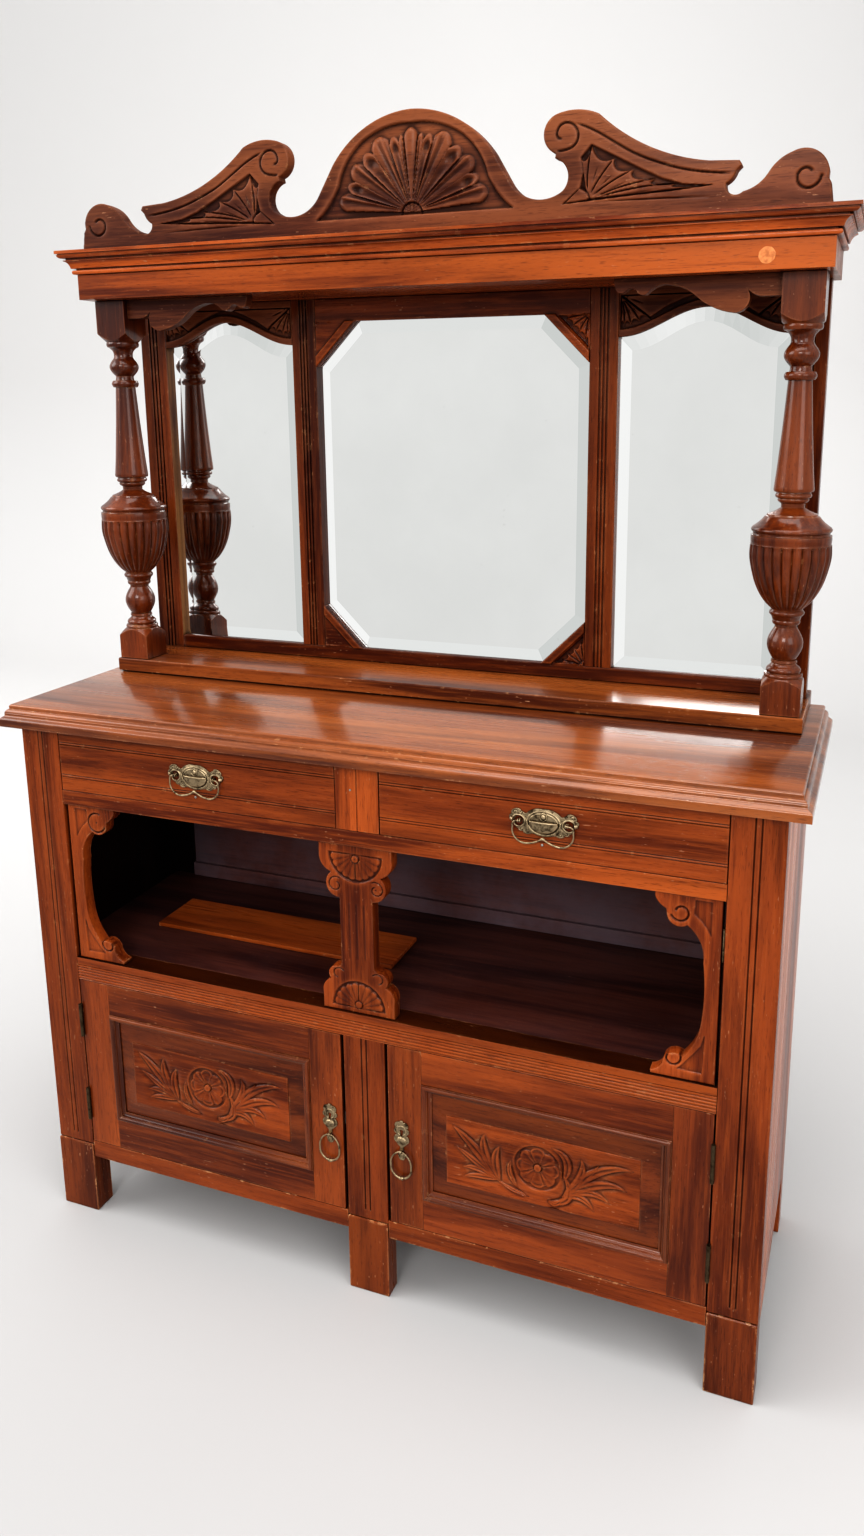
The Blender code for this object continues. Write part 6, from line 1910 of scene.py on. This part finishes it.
# Area lamps: where each stands, where it points, its size and its power
LAMPS = {
    "key": ((-3.6, -1.6, 3.0), (0.0, 0.0, 0.9), (2.6, 2.6), 78.0),
    "fill": ((2.8, -2.6, 2.2), (0.0, 0.0, 0.8), (2.0, 2.2), 34.0),
    "top": ((0.2, -0.6, 3.8), (0.0, 0.0, 0.9), (2.6, 2.0), 50.0),
    "window": ((0.15, -4.6, 3.3), (0.2, 0.0, 1.0), (1.7, 1.5), 70.0),
}


class SIDEBOARD_OT_set_studio(Operator):
    """Set a pale seamless floor, soft light and the camera of the photograph."""

    bl_idname = "sideboard.set_studio"
    bl_label = "Set Studio"

    def execute(self, context):
        sizes = settings("studio")
        context.scene.view_settings.view_transform = "Standard"
        context.scene.view_settings.look = "High Contrast"
        self.camera(sizes)
        self.floor()
        self.surroundings(sizes)
        for name, how in LAMPS.items():
            self.lamp(name, *how)
        return {"FINISHED"}

    def camera(self, sizes):
        a, b, c = sizes.yaw, sizes.pitch, sizes.roll
        ahead = Vector((-math.sin(a) * math.cos(b), math.cos(a) * math.cos(b), math.sin(b)))
        level = Vector((math.cos(a), math.sin(a), 0.0))
        above = level.cross(ahead)
        right = level * math.cos(c) + above * math.sin(c)
        up = above * math.cos(c) - level * math.sin(c)
        data = bpy.data.cameras.new("camera")
        data.lens = sizes.lens
        data.sensor_width = 36.0
        data.shift_x, data.shift_y = sizes.shift
        data.clip_start = 0.05
        camera = bpy.data.objects.new("camera", data)
        turn = Matrix((right, up, -ahead)).transposed().to_4x4()
        camera.matrix_world = Matrix.Translation(Vector(sizes.eye)) @ turn
        bpy.context.scene.collection.objects.link(camera)
        bpy.context.scene.camera = camera

    def floor(self):
        """A floor that curves up into a wall far behind, with painted shading across it."""
        far, bend, wide = 3.2, 1.6, 9.0
        profile = [(-9.0, 0.0), (far, 0.0)]
        for i in range(1, 17):
            angle = math.pi / 2 * i / 16
            profile.append((far + bend * math.sin(angle), bend - bend * math.cos(angle)))
        profile.append((far + bend, 7.0))
        points = [(x, y, z) for y, z in profile for x in (-wide, wide)]
        faces = [(2 * i, 2 * i + 1, 2 * i + 3, 2 * i + 2) for i in range(len(profile) - 1)]
        mesh = bpy.data.meshes.new("floor")
        mesh.from_pydata(points, [], faces)
        mesh.shade_smooth()
        floor = bpy.data.objects.new("floor", mesh)
        bpy.context.scene.collection.objects.link(floor)
        made, shader, start = new_material("seamless_paper")
        cloud = start.noise(1.3, 2.0)
        # Painted shading: the paper is darker at the front of the floor and paler up the wall; the
        # floor is darker on the left, the wall darker on the right
        across = start.part("X").ramp(-1.8, 1.8)
        near = across.blend((0.330, 0.325, 0.322), (0.435, 0.428, 0.424))
        wall = across.blend((0.700, 0.690, 0.682), (0.560, 0.552, 0.546))
        paper = start.part("Y").ramp(-1.5, 2.8).blend(near, wall)
        base = (cloud * 0.06).blend(paper, (0.60, 0.59, 0.58))
        connect(start, shader, base, 0.55 + cloud * 0.1)
        mesh.materials.append(made)

    def surroundings(self, sizes):
        world = bpy.data.worlds.new("studio")
        bpy.context.scene.world = world
        world.use_nodes = True
        tree = world.node_tree
        tree.nodes.clear()
        output = tree.nodes.new("ShaderNodeOutputWorld")
        light = tree.nodes.new("ShaderNodeBackground")
        tree.links.new(light.outputs[0], output.inputs["Surface"])
        start = Wire(tree, tree.nodes.new("ShaderNodeTexCoord").outputs["Generated"])
        sky = start.part("Z").ramp(-0.25, 0.55).blend((0.705, 0.705, 0.70), (0.975, 0.98, 0.985))
        start.feed(light.inputs["Color"], sky)
        light.inputs["Strength"].default_value = sizes.daylight

    def lamp(self, name, place, target, size, power):
        data = bpy.data.lights.new(name, "AREA")
        data.shape = "RECTANGLE"
        data.size, data.size_y = size
        data.energy = power
        lamp = bpy.data.objects.new(name, data)
        lamp.location = place
        aim = Vector(target) - Vector(place)
        lamp.rotation_euler = aim.to_track_quat("-Z", "Y").to_euler()
        bpy.context.scene.collection.objects.link(lamp)


OPERATORS = (
    SIDEBOARD_OT_set_studio,
    SIDEBOARD_OT_polish_boards,
    SIDEBOARD_OT_cut_front_boards,
    SIDEBOARD_OT_mould_boards,
    SIDEBOARD_OT_turn_columns,
    SIDEBOARD_OT_carve_crest,
    SIDEBOARD_OT_cut_fretwork,
    SIDEBOARD_OT_make_doors,
    SIDEBOARD_OT_cast_fittings,
    SIDEBOARD_OT_frame_mirrors,
    SIDEBOARD_OT_add_marks,
)


class SIDEBOARD_PT_panel(Panel):
    """Lists the sideboard's settings and the steps that dress it."""

    bl_label = "Sideboard"
    bl_idname = "SIDEBOARD_PT_panel"
    bl_space_type = "VIEW_3D"
    bl_region_type = "UI"
    bl_category = "Sideboard"

    def draw(self, context):
        for name, group in SETTINGS.items():
            box = self.layout.box()
            for prop in group.__annotations__:
                box.prop(getattr(context.scene, name), prop)
        for operator in OPERATORS:
            self.layout.operator(operator.bl_idname)


def register():
    for group in SETTINGS.values():
        bpy.utils.register_class(group)
    for name, group in SETTINGS.items():
        setattr(bpy.types.Scene, name, PointerProperty(type=group))
    for operator in OPERATORS:
        bpy.utils.register_class(operator)
    bpy.utils.register_class(SIDEBOARD_PT_panel)


def unregister():
    bpy.utils.unregister_class(SIDEBOARD_PT_panel)
    for operator in reversed(OPERATORS):
        bpy.utils.unregister_class(operator)
    for name in SETTINGS:
        delattr(bpy.types.Scene, name)
    for group in SETTINGS.values():
        bpy.utils.unregister_class(group)


def main():
    register()
    for operator in OPERATORS:
        group, action = operator.bl_idname.split(".")
        getattr(getattr(bpy.ops, group), action)()


if __name__ == "__main__":
    main()
